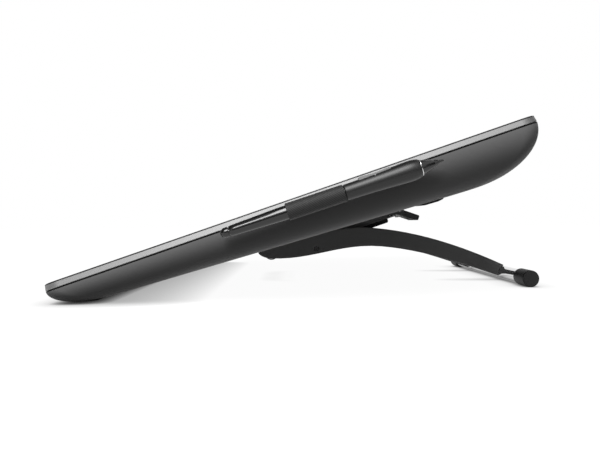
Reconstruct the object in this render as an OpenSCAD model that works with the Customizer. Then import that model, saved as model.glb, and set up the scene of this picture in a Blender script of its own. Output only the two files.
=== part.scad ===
// Pen display on a folding rear stand, with its pen held in a side loop.
// Millimetres, +Z up, +X to the user's right, the user sits at -Y.
// The origin is the flat of the front foot, on the desk.

/* [Display body] */
// Width across the rim
body_w = 570; // [540:1:620]
// Depth from front rim to back rim, along the screen
body_d = 367.4; // [356:0.2:380]
// Angle of the screen above the desk
tilt = 18.8; // [18.2:0.1:24]
// Plan radius of the rim corners
corner_r = 14; // [10:1:20]
// Growth of the corner radius from rim to underside
corner_grow = 11; // [6:1:20]
// Height of the side band, glass included
band_h = 5; // [4.4:0.1:6]
// Outward draft of the side band
band_draft = 0.9; // [0.5:0.1:1.4]
// Chamfer along the lower edge of the side band
band_chamfer = 0.4; // [0.2:0.1:0.8]
// Width of the band's lip round the glass
glass_lip = 0.8; // [0.5:0.1:1.2]
// Height of the glass above that lip
glass_proud = 0.3; // [0.1:0.05:0.4]
// Width of the frame ledge under the glass
frame_ledge = 9; // [7:0.5:12]
// Parting gap between side band and rear cover
rim_gap = 0.2; // [0.1:0.05:0.4]
// Body thickness at the front rim
front_t = 21.1; // [20:0.1:23]
// Body thickness at the back rim
back_t = 39; // [37:0.1:42]
// Length of the rounded nose along the front
nose_run = 34.5; // [30:0.5:38]
// Length of the rounded tail along the back
tail_run = 49.5; // [42:0.5:54]
// Width of the rounded sides for each mm of their height
side_ratio = 1.3; // [1.1:0.05:1.8]
// Wall of the rear cover
wall = 2.2; // [1.8:0.1:2.6]

/* [Screen stack] */
// Cover glass thickness
glass_t = 1.1; // [0.8:0.1:1.6]
// Visible picture width
screen_w = 476; // [450:1:480]
// Visible picture depth
screen_d = 268; // [250:1:272]
// Border of the cell outside the picture
cell_border = 5; // [3:0.5:7]
// Liquid crystal cell thickness
cell_t = 1.6; // [1.2:0.1:2]
// Diffuser film stack thickness
film_t = 0.7; // [0.4:0.1:1]
// Light guide thickness
guide_t = 3; // [2:0.1:3.4]
// Panel tray sheet thickness
tray_t = 0.8; // [0.5:0.1:1]
// Digitizer board thickness
sensor_t = 1.2; // [0.8:0.1:1.6]
// Shield sheet thickness
shield_t = 0.6; // [0.4:0.1:0.8]
// Mid frame plate thickness
mid_t = 1.6; // [1.2:0.1:2]

/* [Ports and controls] */
// Right hand edge of the port bay, inside the right rim
bay_in = 101; // [90:1:110]
// Width of the port bay
bay_w = 88; // [84:1:94]
// Back wall of the port bay, ahead of the back rim
bay_behind = 62; // [60:1:68]
// Length of the port bay
bay_len = 40; // [34:1:42]
// Main board thickness
board_t = 1.6; // [1:0.1:2]
// Main board depth
board_d = 32; // [28:1:34]
// Left hand edge of the vent, inside the left rim
vent_in = 89; // [75:1:100]
// Rear edge of the vent, ahead of the back rim
vent_behind = 58; // [56:1:64]
// Number of vent slots
vent_slots = 14; // [8:1:16]
// Vent slot width
vent_slot_w = 3; // [2:0.1:3.6]
// Vent slot length
vent_slot_len = 24; // [18:1:26]
// Power button width
button_w = 14; // [10:0.5:16]
// Power button height
button_h = 5; // [4:0.1:6]
// Travel of the power button
button_travel = 0.7; // [0.4:0.1:0.9]

/* [Feet] */
// Thickness of the front foot strip
foot_t = 0.8; // [0.6:0.1:1.4]
// Depth of the flat worn by the desk line on the front foot
foot_flat = 0.3; // [0.2:0.05:0.4]
// Free length at each end of the front foot strip
foot_end = 35; // [32:1:60]
// Middle of the rear foot pads, ahead of the back rim
pad_behind = 84.2; // [76:0.2:92]
// Rear foot pad length
pad_len = 20; // [18:1:28]
// Rear foot pad width
pad_w = 20; // [14:1:24]
// Rear foot pad height
pad_t = 1.5; // [1.2:0.1:2.4]

/* [Stand leg] */
// Hinge axis from the front rim, along the screen
pivot_u = 149.4; // [144:0.2:154]
// Hinge axis below the underside of the body
pivot_drop = 8.3; // [8.3:0.1:9.5]
// Hinge pin radius
pin_r = 2.5; // [2:0.1:2.8]
// Hinge axis to foot bar axis
leg_reach = 227; // [224:0.2:236]
// Outer face of each arm, from the middle
arm_out = 73; // [72:0.5:80]
// Width of each arm
arm_w = 13; // [10:0.5:13.5]
// Crown of the arm's lower edge above the line from hinge to bar
arch_rise = 15.1; // [13:0.1:15.9]
// Crown position, from the hinge
arch_at = 106; // [100:1:112]
// Depth of the arm at its crown
arm_h = 17.3; // [15:0.1:18.5]
// Depth of the arm at the foot bar
arm_end_h = 11.4; // [10:0.1:12]
// Reach of the arm's rounded nose ahead of the hinge
nose_reach = 12.3; // [11:0.1:13]
// Depth of the arm below the hinge axis
heel_drop = 5.3; // [5:0.1:6]
// Thickness of the plate between the arms
web_t = 3; // [2:0.1:3.2]
// Foot bar radius
bar_r = 6; // [5:0.1:6.4]
// Foot bar tube wall
bar_wall = 1.5; // [1:0.1:2]
// Half length of the foot bar, caps included
bar_half = 158; // [145:1:180]
// Rubber cap wall round the foot bar
cap_wall = 1.2; // [0.8:0.1:1.6]
// Rubber cap length
cap_len = 30; // [22:1:36]

/* [Stand base and lock] */
// Base length behind the hinge axis
base_len = 122; // [118:0.2:126]
// Depth of the base below the hinge axis
base_below = 5.8; // [5.4:0.1:6.2]
// Thickness of the hinge washers
washer_t = 2.9; // [2:0.1:3.2]
// Mounting screw pattern, square
vesa = 100; // [75:25:100]
// Height of the cover under the base
lid_h = 4.6; // [4.2:0.1:4.9]
// Half width of the cover under the base
lid_half = 40; // [34:1:44]
// Travel of the brake shoe
brake_travel = 1; // [0.8:0.1:1.2]
// Brake drum radius
drum_r = 7.4; // [6.6:0.1:7.5]
// Pull rod radius
rod_r = 1.25; // [1:0.05:1.4]
// Crank length, lever pivot to pull rod
crank = 4.1; // [3.9:0.1:4.3]
// Lever handle length
handle_len = 21.5; // [18:0.5:26]
// Lever handle angle from the screen plane
handle_angle = 38; // [34:1:42]
// Lever handle thickness
handle_t = 5.4; // [4.6:0.1:5.8]
// Lever handle half width
handle_half = 30; // [24:1:34]

/* [Pen] */
// Pen length, eraser to nib
pen_len = 160; // [154:1:166]
// Pen tail from the front rim, along the screen
pen_u = 132; // [122:0.2:142]
// Pen axis below the glass at the tail
pen_w = 7.5; // [6.4:0.1:8.2]
// Pen axis outside the rim
pen_out = 9.2; // [8.8:0.1:12]
// Lean of the pen against the screen plane
pen_lean = 0.7; // [0.5:0.1:1.2]
// Barrel radius at the eraser
tail_r = 3.8; // [3.6:0.1:4.2]
// Barrel radius in the loop
barrel_r = 5; // [4.8:0.05:5.2]
// Grip radius at the loop
grip_r = 5.6; // [5.5:0.05:5.9]
// Widest radius of the grip
flare_r = 7.2; // [6.6:0.1:7.6]
// Radius of the bright ring
ring_r = 5.8; // [5.4:0.1:6]
// Loop start, from the pen's tail
loop_from = 47.8; // [44:0.2:52]
// Loop length along the pen
loop_len = 41.2; // [36:0.2:44]
// Webbing thickness
web_cloth = 0.8; // [0.6:0.05:0.9]

/* [Hidden] */
$fn = 64;

// Clearances: seated pieces, pins that turn, and moving pieces that pass each other.
fit = 0.03;
run = 0.06;
slack = 0.3;

// Body section. Depths w are read downwards from the glass, u along the screen.
rim_w = band_h + rim_gap;
half_w = body_w / 2;
wedge = atan((back_t - front_t) / body_d);
function belly(u) = front_t + (back_t - front_t) * u / body_d;
// Depth of the outer skin in the middle of the body, with its nose and tail rounded
function skin_lift(u) =
    u < nose_run ? 1 - u / nose_run
    : u > body_d - tail_run ? 1 - (body_d - u) / tail_run
    : 0;
function skin(u) = rim_w + (belly(u) - rim_w) * sqrt(1 - pow(skin_lift(u), 2));

// Inset of the side wall at a depth, where the body is as thick as it is at u
function side_inset(w, u) =
    let (deep = belly(u) - rim_w)
    side_ratio * deep * (1 - sqrt(1 - pow((w - rim_w) / deep, 2)));

// One ring of the rear cover: step 0 is the rim, step 90 the edge of the flat underside.
corner_n = 6;
shell_n = 10;
function ring(step, inset) = [
    for (q = [0:3]) for (s = [0:corner_n])
        let (
            turn = 90 * (q + s / corner_n),
            lost = 1 - cos(step),
            r = corner_r - inset + corner_grow * lost,
            front = inset + nose_run * lost,
            back = body_d - inset - tail_run * lost,
            side = half_w - inset - r,
            x = (q == 0 || q == 3 ? side : -side) + r * cos(turn),
            u = (q < 2 ? back - r : front + r) + r * sin(turn),
            deep = belly(u) - inset - rim_w,
            pull = side_ratio * deep * lost / half_w
        )
        [x * (1 - pull), u, -(rim_w + deep * sin(step))]
];

// Nose curve under the front edge and its outward normal, in the plane of u and height
function nose_pt(a) =
    let (u = nose_run * (1 - cos(a)))
    [u, -(rim_w + (belly(u) - rim_w) * sin(a))];
function nose_normal(a) =
    let (p = nose_pt(a - 0.5), q = nose_pt(a + 0.5), d = (q - p) / norm(q - p))
    [d[1], -d[0]];
foot_angle_from = 27;
foot_angle_to = 81;
foot_angle_step = 3;
foot_taper_ratio = 0.35;
function foot_skin(a) =
    nose_pt(a) + nose_normal(a) * foot_t
    * (a == foot_angle_from || a == foot_angle_to ? foot_taper_ratio : 1);

// Seat of the body on the desk: the lowest corner of the foot's section rests there
function desk_z(p) = p[0] * sin(tilt) + p[1] * cos(tilt);
function desk_y(p) = p[0] * cos(tilt) - p[1] * sin(tilt);
foot_pts = [for (a = [foot_angle_from:foot_angle_step:foot_angle_to]) foot_skin(a)];
foot_low = min([for (p = foot_pts) desk_z(p)]);
foot_at = [for (p = foot_pts) if (desk_z(p) == foot_low) desk_y(p)][0];
seat_z = -foot_low - foot_flat;
seat_y = -foot_at;

// Stand in the body's section
pivot_w = belly(pivot_u) + pivot_drop;
arm_in = arm_out - arm_w;
base_half = arm_in - washer_t - fit;
base_u = pivot_u + base_len;
base_w = pivot_w + base_below;
knuckle_r = pivot_drop - 0.9;
channel_half = 12.5;
channel_roof = 2;
lid_w = base_w + lid_h;
lid_floor = 1.1;
lid_from = pivot_u + 12.6;
lid_to = base_u - 1;
lever_out = 14.4;
lever_u = base_u + lever_out;
lever_w = pivot_w + 2.8;
lever_pin_r = 1.5;
boss_r = 3.2;
crank_half = 9;
ear_t = 4;
rod_w = lever_w + crank;
spring_wall_u = pivot_u + 42;
shoe_back = pivot_u + 20;
vesa_u = pivot_u + base_len / 2 + 2;
vesa_r = 2;
vesa_depth = 8;
vesa_plate = 4;
scoop_r = nose_reach + 0.65;

// Leg at rest: its foot bar lies on the desk. Leg points are [along, above].
cap_r = bar_r + cap_wall;
pivot_y = seat_y + pivot_u * cos(tilt) + pivot_w * sin(tilt);
pivot_z = seat_z + pivot_u * sin(tilt) - pivot_w * cos(tilt);
leg_dip = asin((pivot_z - cap_r) / leg_reach);
fold = tilt + leg_dip;
function bez(c, t) =
    pow(1 - t, 3) * c[0] + 3 * pow(1 - t, 2) * t * c[1]
    + 3 * (1 - t) * t * t * c[2] + pow(t, 3) * c[3];
function curve(c, n) = [for (i = [0:n - 1]) bez(c, i / n)];
end_lean = 20;
end_back = 4;
end_lift = 0.34;
crown_shift = 9;
shoulder_at = 12;
shoulder_rise = 1;
tip_drop = 1;
// Pulls of the curves that join these points
crown_pull = 40;
heel_rise = 1.3;
low_pull = 37;
low_rise = 8.9;
back_pull = 44;
top_pull = 43;
neck_pull = 35;
neck_run = 28;
neck_rise = 9.5;
brow_run = 10;
brow_drop = 2.3;
tip_run = 3.3;
tip_rise = 5.5;
chin_run = 1.8;
chin_drop = 2.6;
sole_run = 6;
end_run = [cos(end_lean), -sin(end_lean)];
end_up = [sin(end_lean), cos(end_lean)];
end_mid = [leg_reach, 0] - end_back * end_run;
end_low = end_mid - (arm_end_h / 2 - end_lift) * end_up;
end_top = end_mid + (arm_end_h / 2 + end_lift) * end_up;
crown_low = [arch_at, arch_rise];
crown_top = [arch_at - crown_shift, arch_rise + arm_h];
shoulder = [shoulder_at, pivot_drop + shoulder_rise];
nose_tip = [-nose_reach, -tip_drop];
heel = [0, -heel_drop];
low_front = [heel, heel + [crown_pull, heel_rise], crown_low - [crown_pull, 0], crown_low];
low_back = [crown_low, crown_low + [crown_pull, 0], end_low + [-low_pull, low_rise], end_low];
top_back = [end_top, end_top - back_pull * end_run, crown_top + [top_pull, 0], crown_top];
top_front = [
    crown_top, crown_top - [neck_pull, 0], shoulder + [neck_run, neck_rise], shoulder
];
nose_top = [
    shoulder, shoulder - [brow_run, brow_drop], nose_tip + [tip_run, tip_rise], nose_tip
];
nose_low = [nose_tip, nose_tip + [chin_run, -chin_drop], heel - [sole_run, 0], heel];
arm_outline = concat(
    curve(low_front, 12), curve(low_back, 12), [end_low],
    curve(top_back, 12), curve(top_front, 12), curve(nose_top, 6), curve(nose_low, 6)
);

// Plate between the arms: it follows the arm's lower edge, a little inside it
web_inset = 1;
web_from_ratio = 0.4;
web_to_ratio = 0.4;
web_n = 8;
function web_pt(c, t, rise) =
    let (p = bez(c, t - 0.01), q = bez(c, t + 0.01), d = (q - p) / norm(q - p))
    bez(c, t) + rise * [-d[1], d[0]];
function web_edge(rise) = concat(
    [for (i = [0:web_n]) web_pt(low_front, web_from_ratio + (0.98 - web_from_ratio) * i / web_n, rise)],
    [for (i = [1:web_n]) web_pt(low_back, web_to_ratio * i / web_n, rise)]
);
function reversed(v) = [for (i = [len(v) - 1:-1:0]) v[i]];
bumper_ratio = 0.62;
bumper_x = 25;
bumper_r = 4;
bumper_sink = 1.2;
bumper_pt = web_pt(low_front, bumper_ratio, web_inset + web_t);
bumper_u = pivot_u + bumper_pt[0] * cos(fold) + bumper_pt[1] * sin(fold);
bumper_w = pivot_w + bumper_pt[0] * sin(fold) - bumper_pt[1] * cos(fold);
web_screw = web_pt(low_front, 0.42, web_inset + web_t + 0.9);
web_screw_r = 1.5;
web_boss_r = 3.6;
web_boss_len = 10;

// Screen stack, each layer under the last
mid_u = body_d / 2;
cell_w = glass_t + fit;
film_w = cell_w + cell_t + fit;
guide_w = film_w + film_t + fit;
tray_w = guide_w + guide_t + fit;
sensor_w = tray_w + tray_t + fit;
shield_w = sensor_w + sensor_t + fit;
mid_w = shield_w + shield_t + fit;
stack_x = screen_w + 2 * cell_border;
stack_d = screen_d + 2 * cell_border;
tray_lip = 4;
led_t = 3;
tray_x = stack_x + 2 * tray_lip;
tray_d = stack_d + 2 * tray_lip + led_t;
mid_rib = 82;
mid_bar = 22;
mid_side = 41;
mid_end = 55;
window_r = 12;
window_x = (tray_x - mid_rib) / 2 - mid_side;

// Ports: the board lies behind the bay, its sockets hang under it
bay_right = half_w - bay_in;
bay_left = bay_right - bay_w;
bay_back = body_d - bay_behind;
bay_front = bay_back - bay_len;
bay_wall = 2;
bay_roof = mid_w + mid_t + 3.2;
board_u = bay_back + bay_wall + 3;
board_w = bay_roof + 0.8;
board_x = bay_w + 64;
socket_w = board_w + board_t + fit;
socket_face = bay_back + 0.4;
jack_x = bay_left + 16;
hdmi_x = bay_left + 44;
usb_x = bay_left + 70;
jack_r = 4;
jack_len = 13;
hdmi_size = [15, 13, 5.6];
usb_size = [9, 11, 3.3];
shell_t = 0.5;
vent_left = vent_in - half_w;
vent_pitch = 6;
vent_frame = 3;
vent_w = vent_pitch * vent_slots + 2 * vent_frame;
vent_d = vent_slot_len + 2 * vent_frame;
vent_front = body_d - vent_behind - vent_d;
post_r = 4.5;
screw_r = 1.6;
head_r = 3;
head_h = 1.8;
head_sink = 3;
head_room = 0.3;
key_r = 1.3;
key_deep = 1;
screw_short = 0.3;
wall_cut = 20;
notch_in = 12;
case_in = 71;
case_front = 70;
case_behind = 68;
case_x = half_w - case_in;
case_u = [case_front, body_d - case_behind];

// Power button in the back wall
button_x = half_w - 60;
button_w_mid = rim_w + button_h / 2 + 3.2;
button_proud = 0.8;
button_root = body_d - 8;
led_x = button_x + button_w / 2 + 6;
led_r = 1;

// Pen stations along its axis
pen_x = half_w + pen_out;
eraser_len = 6;
eraser_gap = 0.8;
stem_r = 2.2;
core_r = 3;
tube_r = 4.2;
loop_to = loop_from + loop_len;
grip_from = loop_to + slack;
ring_at = pen_len - 17;
ring_len = 1;
nose_end = pen_len - 4;
nose_r = 1.6;
nib_r = 0.95;
nib_travel = 0.5;
core_end = ring_at + 4.2;
nib_from = core_end + nib_travel + slack;
switch_len = 23;
switch_from = grip_from + 11.5;
switch_mid = switch_from + switch_len / 2;
switch_w = 5;
switch_top = 7.2;
switch_axis = 5;
trunnion_r = 0.6;
loop_r = barrel_r + slack;
strap_t = 2 * web_cloth;
strap_mid = pen_w + (loop_from + loop_len / 2) * sin(pen_lean);
notch_low = strap_mid + strap_t / 2 + slack + loop_len / 2 * sin(pen_lean);
clip_deep = 14;
clip_low = notch_low + 2;
clip_from = pen_u + loop_from - 5;

// Frames: the tilted body, the leg at rest and the pen
module on_body() translate([0, seat_y, seat_z]) rotate([tilt, 0, 0]) children();
module on_leg() translate([0, pivot_y, pivot_z]) rotate([-leg_dip, 0, 0]) children();
module on_pen() on_body() translate([pen_x, pen_u, -pen_w])
    rotate([-pen_lean, 0, 0]) rotate([-90, 0, 0]) children();

// A section in the plane of u and height, run across the body
module across(x0, x1) translate([x0, 0, 0]) rotate([90, 0, 90])
    linear_extrude(x1 - x0) children();
module rod_across(x0, x1, r) translate([x0, 0, 0]) rotate([0, 90, 0])
    cylinder(h = x1 - x0, r = r);
module at(u, w) translate([0, u, -w]) children();
module both_sides() for (s = [-1, 1]) scale_side(s) children();
module scale_side(s) mirror([s < 0 ? 1 : 0, 0, 0]) children();
// A flat plate with square edges, its top at depth w
module plate(x, d, w, t, mid) translate([-x / 2, mid - d / 2, -w - t]) cube([x, d, t]);
module round_rect(x, d, r) {
    square([x - 2 * r, d], center = true);
    square([x, d - 2 * r], center = true);
    for (sx = [-1, 1], sy = [-1, 1])
        translate([sx * (x / 2 - r), sy * (d / 2 - r)]) circle(r);
}
// A section swept round a rounded rectangle: its x is outward from the edge
module edge_sweep(x, d, r) for (i = [0:3]) rotate(90 * i) {
    long = i % 2 == 0 ? x : d;
    deep = i % 2 == 0 ? d : x;
    translate([-(long / 2 - r), -deep / 2, 0]) rotate([90, 0, 90])
        linear_extrude(long - 2 * r) mirror([1, 0]) children();
    translate([long / 2 - r, -(deep / 2 - r), 0]) rotate(-90)
        rotate_extrude(angle = 90) translate([r, 0]) children();
}
// The space between the rim plane and the middle of the cover's floor
module above_floor() across(-half_w, half_w) polygon([
    [0, -rim_w], [body_d, -rim_w],
    [body_d, wall / 2 - belly(body_d)], [0, wall / 2 - belly(0)]
]);
// A flat bottomed block through the floor, used for holes
module floor_hole(x0, x1, u0, u1) translate([x0, u0, -belly(body_d)])
    cube([x1 - x0, u1 - u0, belly(body_d) - rim_w - 8]);

// The glass drops into a shallow lip of the band
glass_in = band_draft + glass_lip + fit;
module cover_glass() color("black") on_body() translate([0, mid_u, -glass_t])
    linear_extrude(glass_t)
        round_rect(body_w - 2 * glass_in, body_d - 2 * glass_in, corner_r - glass_in);

module front_frame() color("silver") on_body() translate([0, mid_u, 0])
    edge_sweep(body_w, body_d, corner_r) polygon([
        [-frame_ledge, -glass_t - fit], [-band_draft - glass_lip, -glass_t - fit],
        [-band_draft - glass_lip, -glass_proud], [-band_draft, -glass_proud],
        [0, band_chamfer - band_h], [-band_chamfer, -band_h], [-frame_ledge, -band_h]
    ]);

module lcd_cell() color("dimgray") on_body() plate(stack_x, stack_d, cell_w, cell_t, mid_u);
module diffuser_sheets() color("white") on_body()
    plate(stack_x, stack_d, film_w, film_t, mid_u);
module light_guide() color("lightcyan") on_body()
    plate(stack_x, stack_d, guide_w, guide_t, mid_u);

module led_bar() color("gold") on_body()
    plate(stack_x - 10, led_t - 2 * fit, guide_w, guide_t, mid_u - stack_d / 2 - led_t / 2);

module panel_tray() color("gainsboro") on_body() difference() {
    plate(tray_x, tray_d, cell_w, tray_w + tray_t - cell_w, mid_u - led_t / 2);
    translate([0, 0, 1]) plate(stack_x + 2 * fit, stack_d + led_t + 2 * fit,
        cell_w, tray_w - cell_w + 1, mid_u - led_t / 2);
}

module sensor_board() color("darkgreen") on_body()
    plate(tray_x - 6, tray_d - 6, sensor_w, sensor_t, mid_u);
module shield_plate() color("lightsteelblue") on_body()
    plate(tray_x - 8, tray_d - 8, shield_w, shield_t, mid_u);

module mid_frame() color("slategray") on_body() difference() {
    union() {
        plate(tray_x, tray_d, mid_w, mid_t, mid_u);
        for (u = case_u) translate([0, u, 0])
            plate(2 * case_x + mid_bar, mid_bar, mid_w, mid_t, 0);
    }
    // A notch lets the flat cable by, where a bar reaches back to it
    translate([flex_x - slack, flex_u + flex_turn - flex_t - slack, -mid_w - mid_t - 1])
        cube([flex_w + 2 * slack, mid_bar, mid_t + 2]);
    for (s = [-1, 1], u = case_u) translate([s * case_x, u, -mid_w - mid_t - 1])
        cylinder(h = mid_t + 2, r = screw_r + fit);
    for (s = [-1, 1]) translate([s * (mid_rib + window_x) / 2, mid_u, -mid_w - mid_t - 1])
        linear_extrude(mid_t + 2) round_rect(window_x, tray_d - 2 * mid_end, window_r);
}

flex_w = 20;
flex_t = 0.4;
flex_x = bay_right + bay_wall + 1;
flex_u = mid_u + tray_d / 2;
flex_turn = 4;
flex_lap = 12;
module display_flex() color("goldenrod") on_body() across(flex_x, flex_x + flex_w) polygon([
    [flex_u - led_t / 2 + fit, -tray_w], [flex_u + flex_turn, -tray_w],
    [flex_u + flex_turn, -board_w + fit], [flex_u - flex_lap, -board_w + fit],
    [flex_u - flex_lap, -board_w + fit + flex_t],
    [flex_u + flex_turn - flex_t, -board_w + fit + flex_t],
    [flex_u + flex_turn - flex_t, -tray_w - flex_t], [flex_u - led_t / 2 + fit, -tray_w - flex_t]
]);

// Main board, with its larger chips under their heat pads
board_left = bay_left - 8;
chip = 12;
chip_t = 1.4;
chip_x = 112.6;
chip_u = 9;
chip_pitch = 18.2;
module main_board() color("green") on_body() {
    translate([board_left, board_u, -board_w - board_t]) cube([board_x, board_d, board_t]);
    for (x = [0, chip_pitch]) translate([board_left + chip_x + x, board_u + chip_u,
        -board_w - board_t - chip_t]) cube([chip, chip, chip_t]);
}

module socket_shell(size) difference() {
    translate([-size[0] / 2, 0, -size[2]]) cube(size);
    translate([shell_t - size[0] / 2, -1, shell_t - size[2]])
        cube([size[0] - 2 * shell_t, size[1] - 1, size[2] - 2 * shell_t]);
}
module tongue(size) translate([-size[0] * 0.36, 1.5, -size[2] * 0.62])
    cube([size[0] * 0.72, size[1] - 2.5, size[2] * 0.24]);

module dc_jack() color("black") on_body()
    translate([jack_x, socket_face, -socket_w - jack_r]) rotate([-90, 0, 0]) {
        difference() {
            cylinder(h = jack_len, r = jack_r);
            translate([0, 0, -1]) cylinder(h = jack_len - 2, r = jack_r - 1.2);
        }
        translate([0, 0, 1]) cylinder(h = jack_len - 2, r = 0.8);
    }
module hdmi_socket() color("lightgray") on_body()
    translate([hdmi_x, socket_face, -socket_w]) {
        socket_shell(hdmi_size);
        tongue(hdmi_size);
    }
module usb_socket() color("lightgray") on_body()
    translate([usb_x, socket_face, -socket_w]) {
        socket_shell(usb_size);
        tongue(usb_size);
    }

// Moulded bucket that the plugs reach into from below
module port_bay() color("dimgray") on_body() difference() {
    across(bay_left - bay_wall, bay_right + bay_wall) polygon([
        [bay_front - bay_wall, -bay_roof + bay_wall], [bay_back + bay_wall, -bay_roof + bay_wall],
        [bay_back + bay_wall, -belly(bay_back + bay_wall)],
        [bay_front - bay_wall, -belly(bay_front - bay_wall)]
    ]);
    translate([bay_left, bay_front, -belly(body_d)])
        cube([bay_w, bay_len, belly(body_d) - bay_roof]);
    translate([jack_x, bay_back - 1, -socket_w - jack_r]) rotate([-90, 0, 0])
        cylinder(h = bay_wall + 2, r = jack_r + fit);
    for (s = [[hdmi_x, hdmi_size], [usb_x, usb_size]])
        translate([s[0] - s[1][0] / 2 - fit, bay_back - 1, -socket_w - s[1][2] - fit])
            cube([s[1][0] + 2 * fit, bay_wall + 2, s[1][2] + 2 * fit]);
}

module vent_grille() color("black") on_body() difference() {
    across(vent_left, vent_left + vent_w) polygon([
        [vent_front, wall - belly(vent_front)],
        [vent_front + vent_d, wall - belly(vent_front + vent_d)],
        [vent_front + vent_d, -belly(vent_front + vent_d)],
        [vent_front, -belly(vent_front)]
    ]);
    for (i = [0:vent_slots - 1])
        translate([vent_left + vent_frame + (i + 0.5) * vent_pitch,
            vent_front + vent_d / 2, -belly(body_d)])
            linear_extrude(belly(body_d)) round_rect(vent_slot_w, vent_slot_len, vent_slot_w / 2.02);
}

// Outer and inner rings, joined at the rim and closed by two flat floors
module cover_shell() {
    n = 4 * (corner_n + 1);
    m = shell_n + 1;
    rings = concat(
        [for (i = [0:shell_n]) ring(90 * i / shell_n, 0)],
        [for (i = [0:shell_n]) ring(90 * i / shell_n, wall)]
    );
    points = [for (r = rings) for (p = r) p];
    skin_faces = [for (i = [0:shell_n - 1], k = [0:n - 1], h = [0, 1])
        let (a = i * n + k, b = i * n + (k + 1) % n)
        h == 0 ? [a, b, b + n] : [a, b + n, a + n]];
    lining_faces = [for (i = [m:m + shell_n - 1], k = [0:n - 1], h = [0, 1])
        let (a = i * n + k, b = i * n + (k + 1) % n)
        h == 0 ? [a, b + n, b] : [a, a + n, b + n]];
    rim_faces = [for (k = [0:n - 1], h = [0, 1])
        let (j = (k + 1) % n)
        h == 0 ? [k, m * n + k, m * n + j] : [k, m * n + j, j]];
    floors = [
        [for (k = [0:n - 1]) shell_n * n + k],
        [for (k = [n - 1:-1:0]) (m + shell_n) * n + k]
    ];
    polyhedron(points, concat(skin_faces, lining_faces, rim_faces, floors));
}

// Posts inside the cover for its own screws, the stand screws and the board
module cover_posts() {
    intersection() {
        above_floor();
        union() {
            for (s = [-1, 1], u = case_u) translate([s * case_x, u, -belly(body_d)])
                cylinder(h = belly(body_d) - mid_w - mid_t - fit, r = post_r);
            for (s = [-1, 1], v = [-1, 1])
                translate([s * vesa / 2, vesa_u + v * vesa / 2, -belly(body_d)])
                    cylinder(h = belly(body_d) - belly(vesa_u + v * vesa / 2) + vesa_depth + 2,
                        r = vesa_r + 5);
            both_sides() at(pivot_u, pivot_w)
                rod_across(arm_in - 1 - wall, arm_out + 1 + wall, scoop_r + wall);
        }
    }
    for (x = [board_left + 5, board_left + board_x - 5], u = [board_u + 4, board_u + board_d - 4])
        translate([x, u, wall / 2 - skin(u)])
            cylinder(h = skin(u) - wall / 2 - board_w - board_t - fit, r = 2.5);
}

module rear_cover() color("gray") on_body() difference() {
    union() {
        cover_shell();
        cover_posts();
    }
    both_sides() at(pivot_u, pivot_w) rod_across(arm_in - 1, arm_out + 1, scoop_r);
    floor_hole(bay_left - bay_wall - fit, bay_right + bay_wall + fit,
        bay_front - bay_wall - fit, bay_back + bay_wall + fit);
    floor_hole(vent_left - fit, vent_left + vent_w + fit,
        vent_front - fit, vent_front + vent_d + fit);
    for (s = [-1, 1], v = [-1, 1])
        translate([s * vesa / 2, vesa_u + v * vesa / 2, -belly(body_d)])
            cylinder(h = belly(body_d) - belly(vesa_u + v * vesa / 2) + vesa_depth, r = vesa_r);
    for (s = [-1, 1], u = case_u) translate([s * case_x, u, -belly(body_d)]) {
        cylinder(h = belly(body_d), r = screw_r + fit);
        cylinder(h = belly(body_d) - belly(u) + head_sink, r = head_r + head_room);
    }
    translate([half_w - notch_in, pen_u + loop_from - slack, -notch_low])
        cube([wall_cut, loop_len + 2 * slack, notch_low - rim_w + rim_gap]);
    translate([button_x, body_d - wall_cut, -button_w_mid]) rotate([-90, 0, 0])
        linear_extrude(2 * wall_cut)
            round_rect(button_w + 2 * slack, button_h + 2 * slack, button_h / 2.02 + slack);
    translate([led_x, body_d - wall_cut, -button_w_mid]) rotate([-90, 0, 0])
        cylinder(h = 2 * wall_cut, r = led_r + fit);
}

module case_screws() color("dimgray") on_body()
    for (s = [-1, 1], u = case_u) translate([s * case_x, u, 0]) {
        translate([0, 0, head_sink - belly(u) - head_h]) difference() {
            cylinder(h = head_h - fit, r = head_r);
            translate([0, 0, -key_deep]) cylinder(h = 2 * key_deep, r = key_r, $fn = 6);
        }
        translate([0, 0, head_sink - belly(u) - head_h / 2])
            cylinder(h = belly(u) - head_sink + head_h / 2 - mid_w - screw_short, r = screw_r);
    }

module front_foot() color("black") difference() {
    on_body() across(foot_end - half_w, half_w - foot_end) polygon(concat(
        foot_pts,
        reversed([for (a = [foot_angle_from:foot_angle_step:foot_angle_to])
            nose_pt(a) + nose_normal(a) * fit])
    ));
    translate([-half_w, -nose_run, -nose_run]) cube([body_w, 2 * nose_run, nose_run]);
}

// Pads near the rear corners, on the flat of the underside
pad_u = body_d - pad_behind;
pad_x = half_w - side_ratio * (belly(pad_u + pad_len / 2) - rim_w) - 2 - pad_w;
module rear_feet() color("black") on_body() both_sides() across(pad_x, pad_x + pad_w) polygon([
    [pad_u - pad_len / 2, -belly(pad_u - pad_len / 2) - fit],
    [pad_u + pad_len / 2, -belly(pad_u + pad_len / 2) - fit],
    [pad_u + pad_len / 2 - 1, -belly(pad_u + pad_len / 2) - pad_t * 0.5],
    [pad_u + pad_len / 2 - 5, -belly(pad_u + pad_len / 2 - 5) - pad_t],
    [pad_u - pad_len / 2 + 5, -belly(pad_u - pad_len / 2 + 5) - pad_t],
    [pad_u - pad_len / 2 + 1, -belly(pad_u - pad_len / 2) - pad_t * 0.5]
]);

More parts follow.
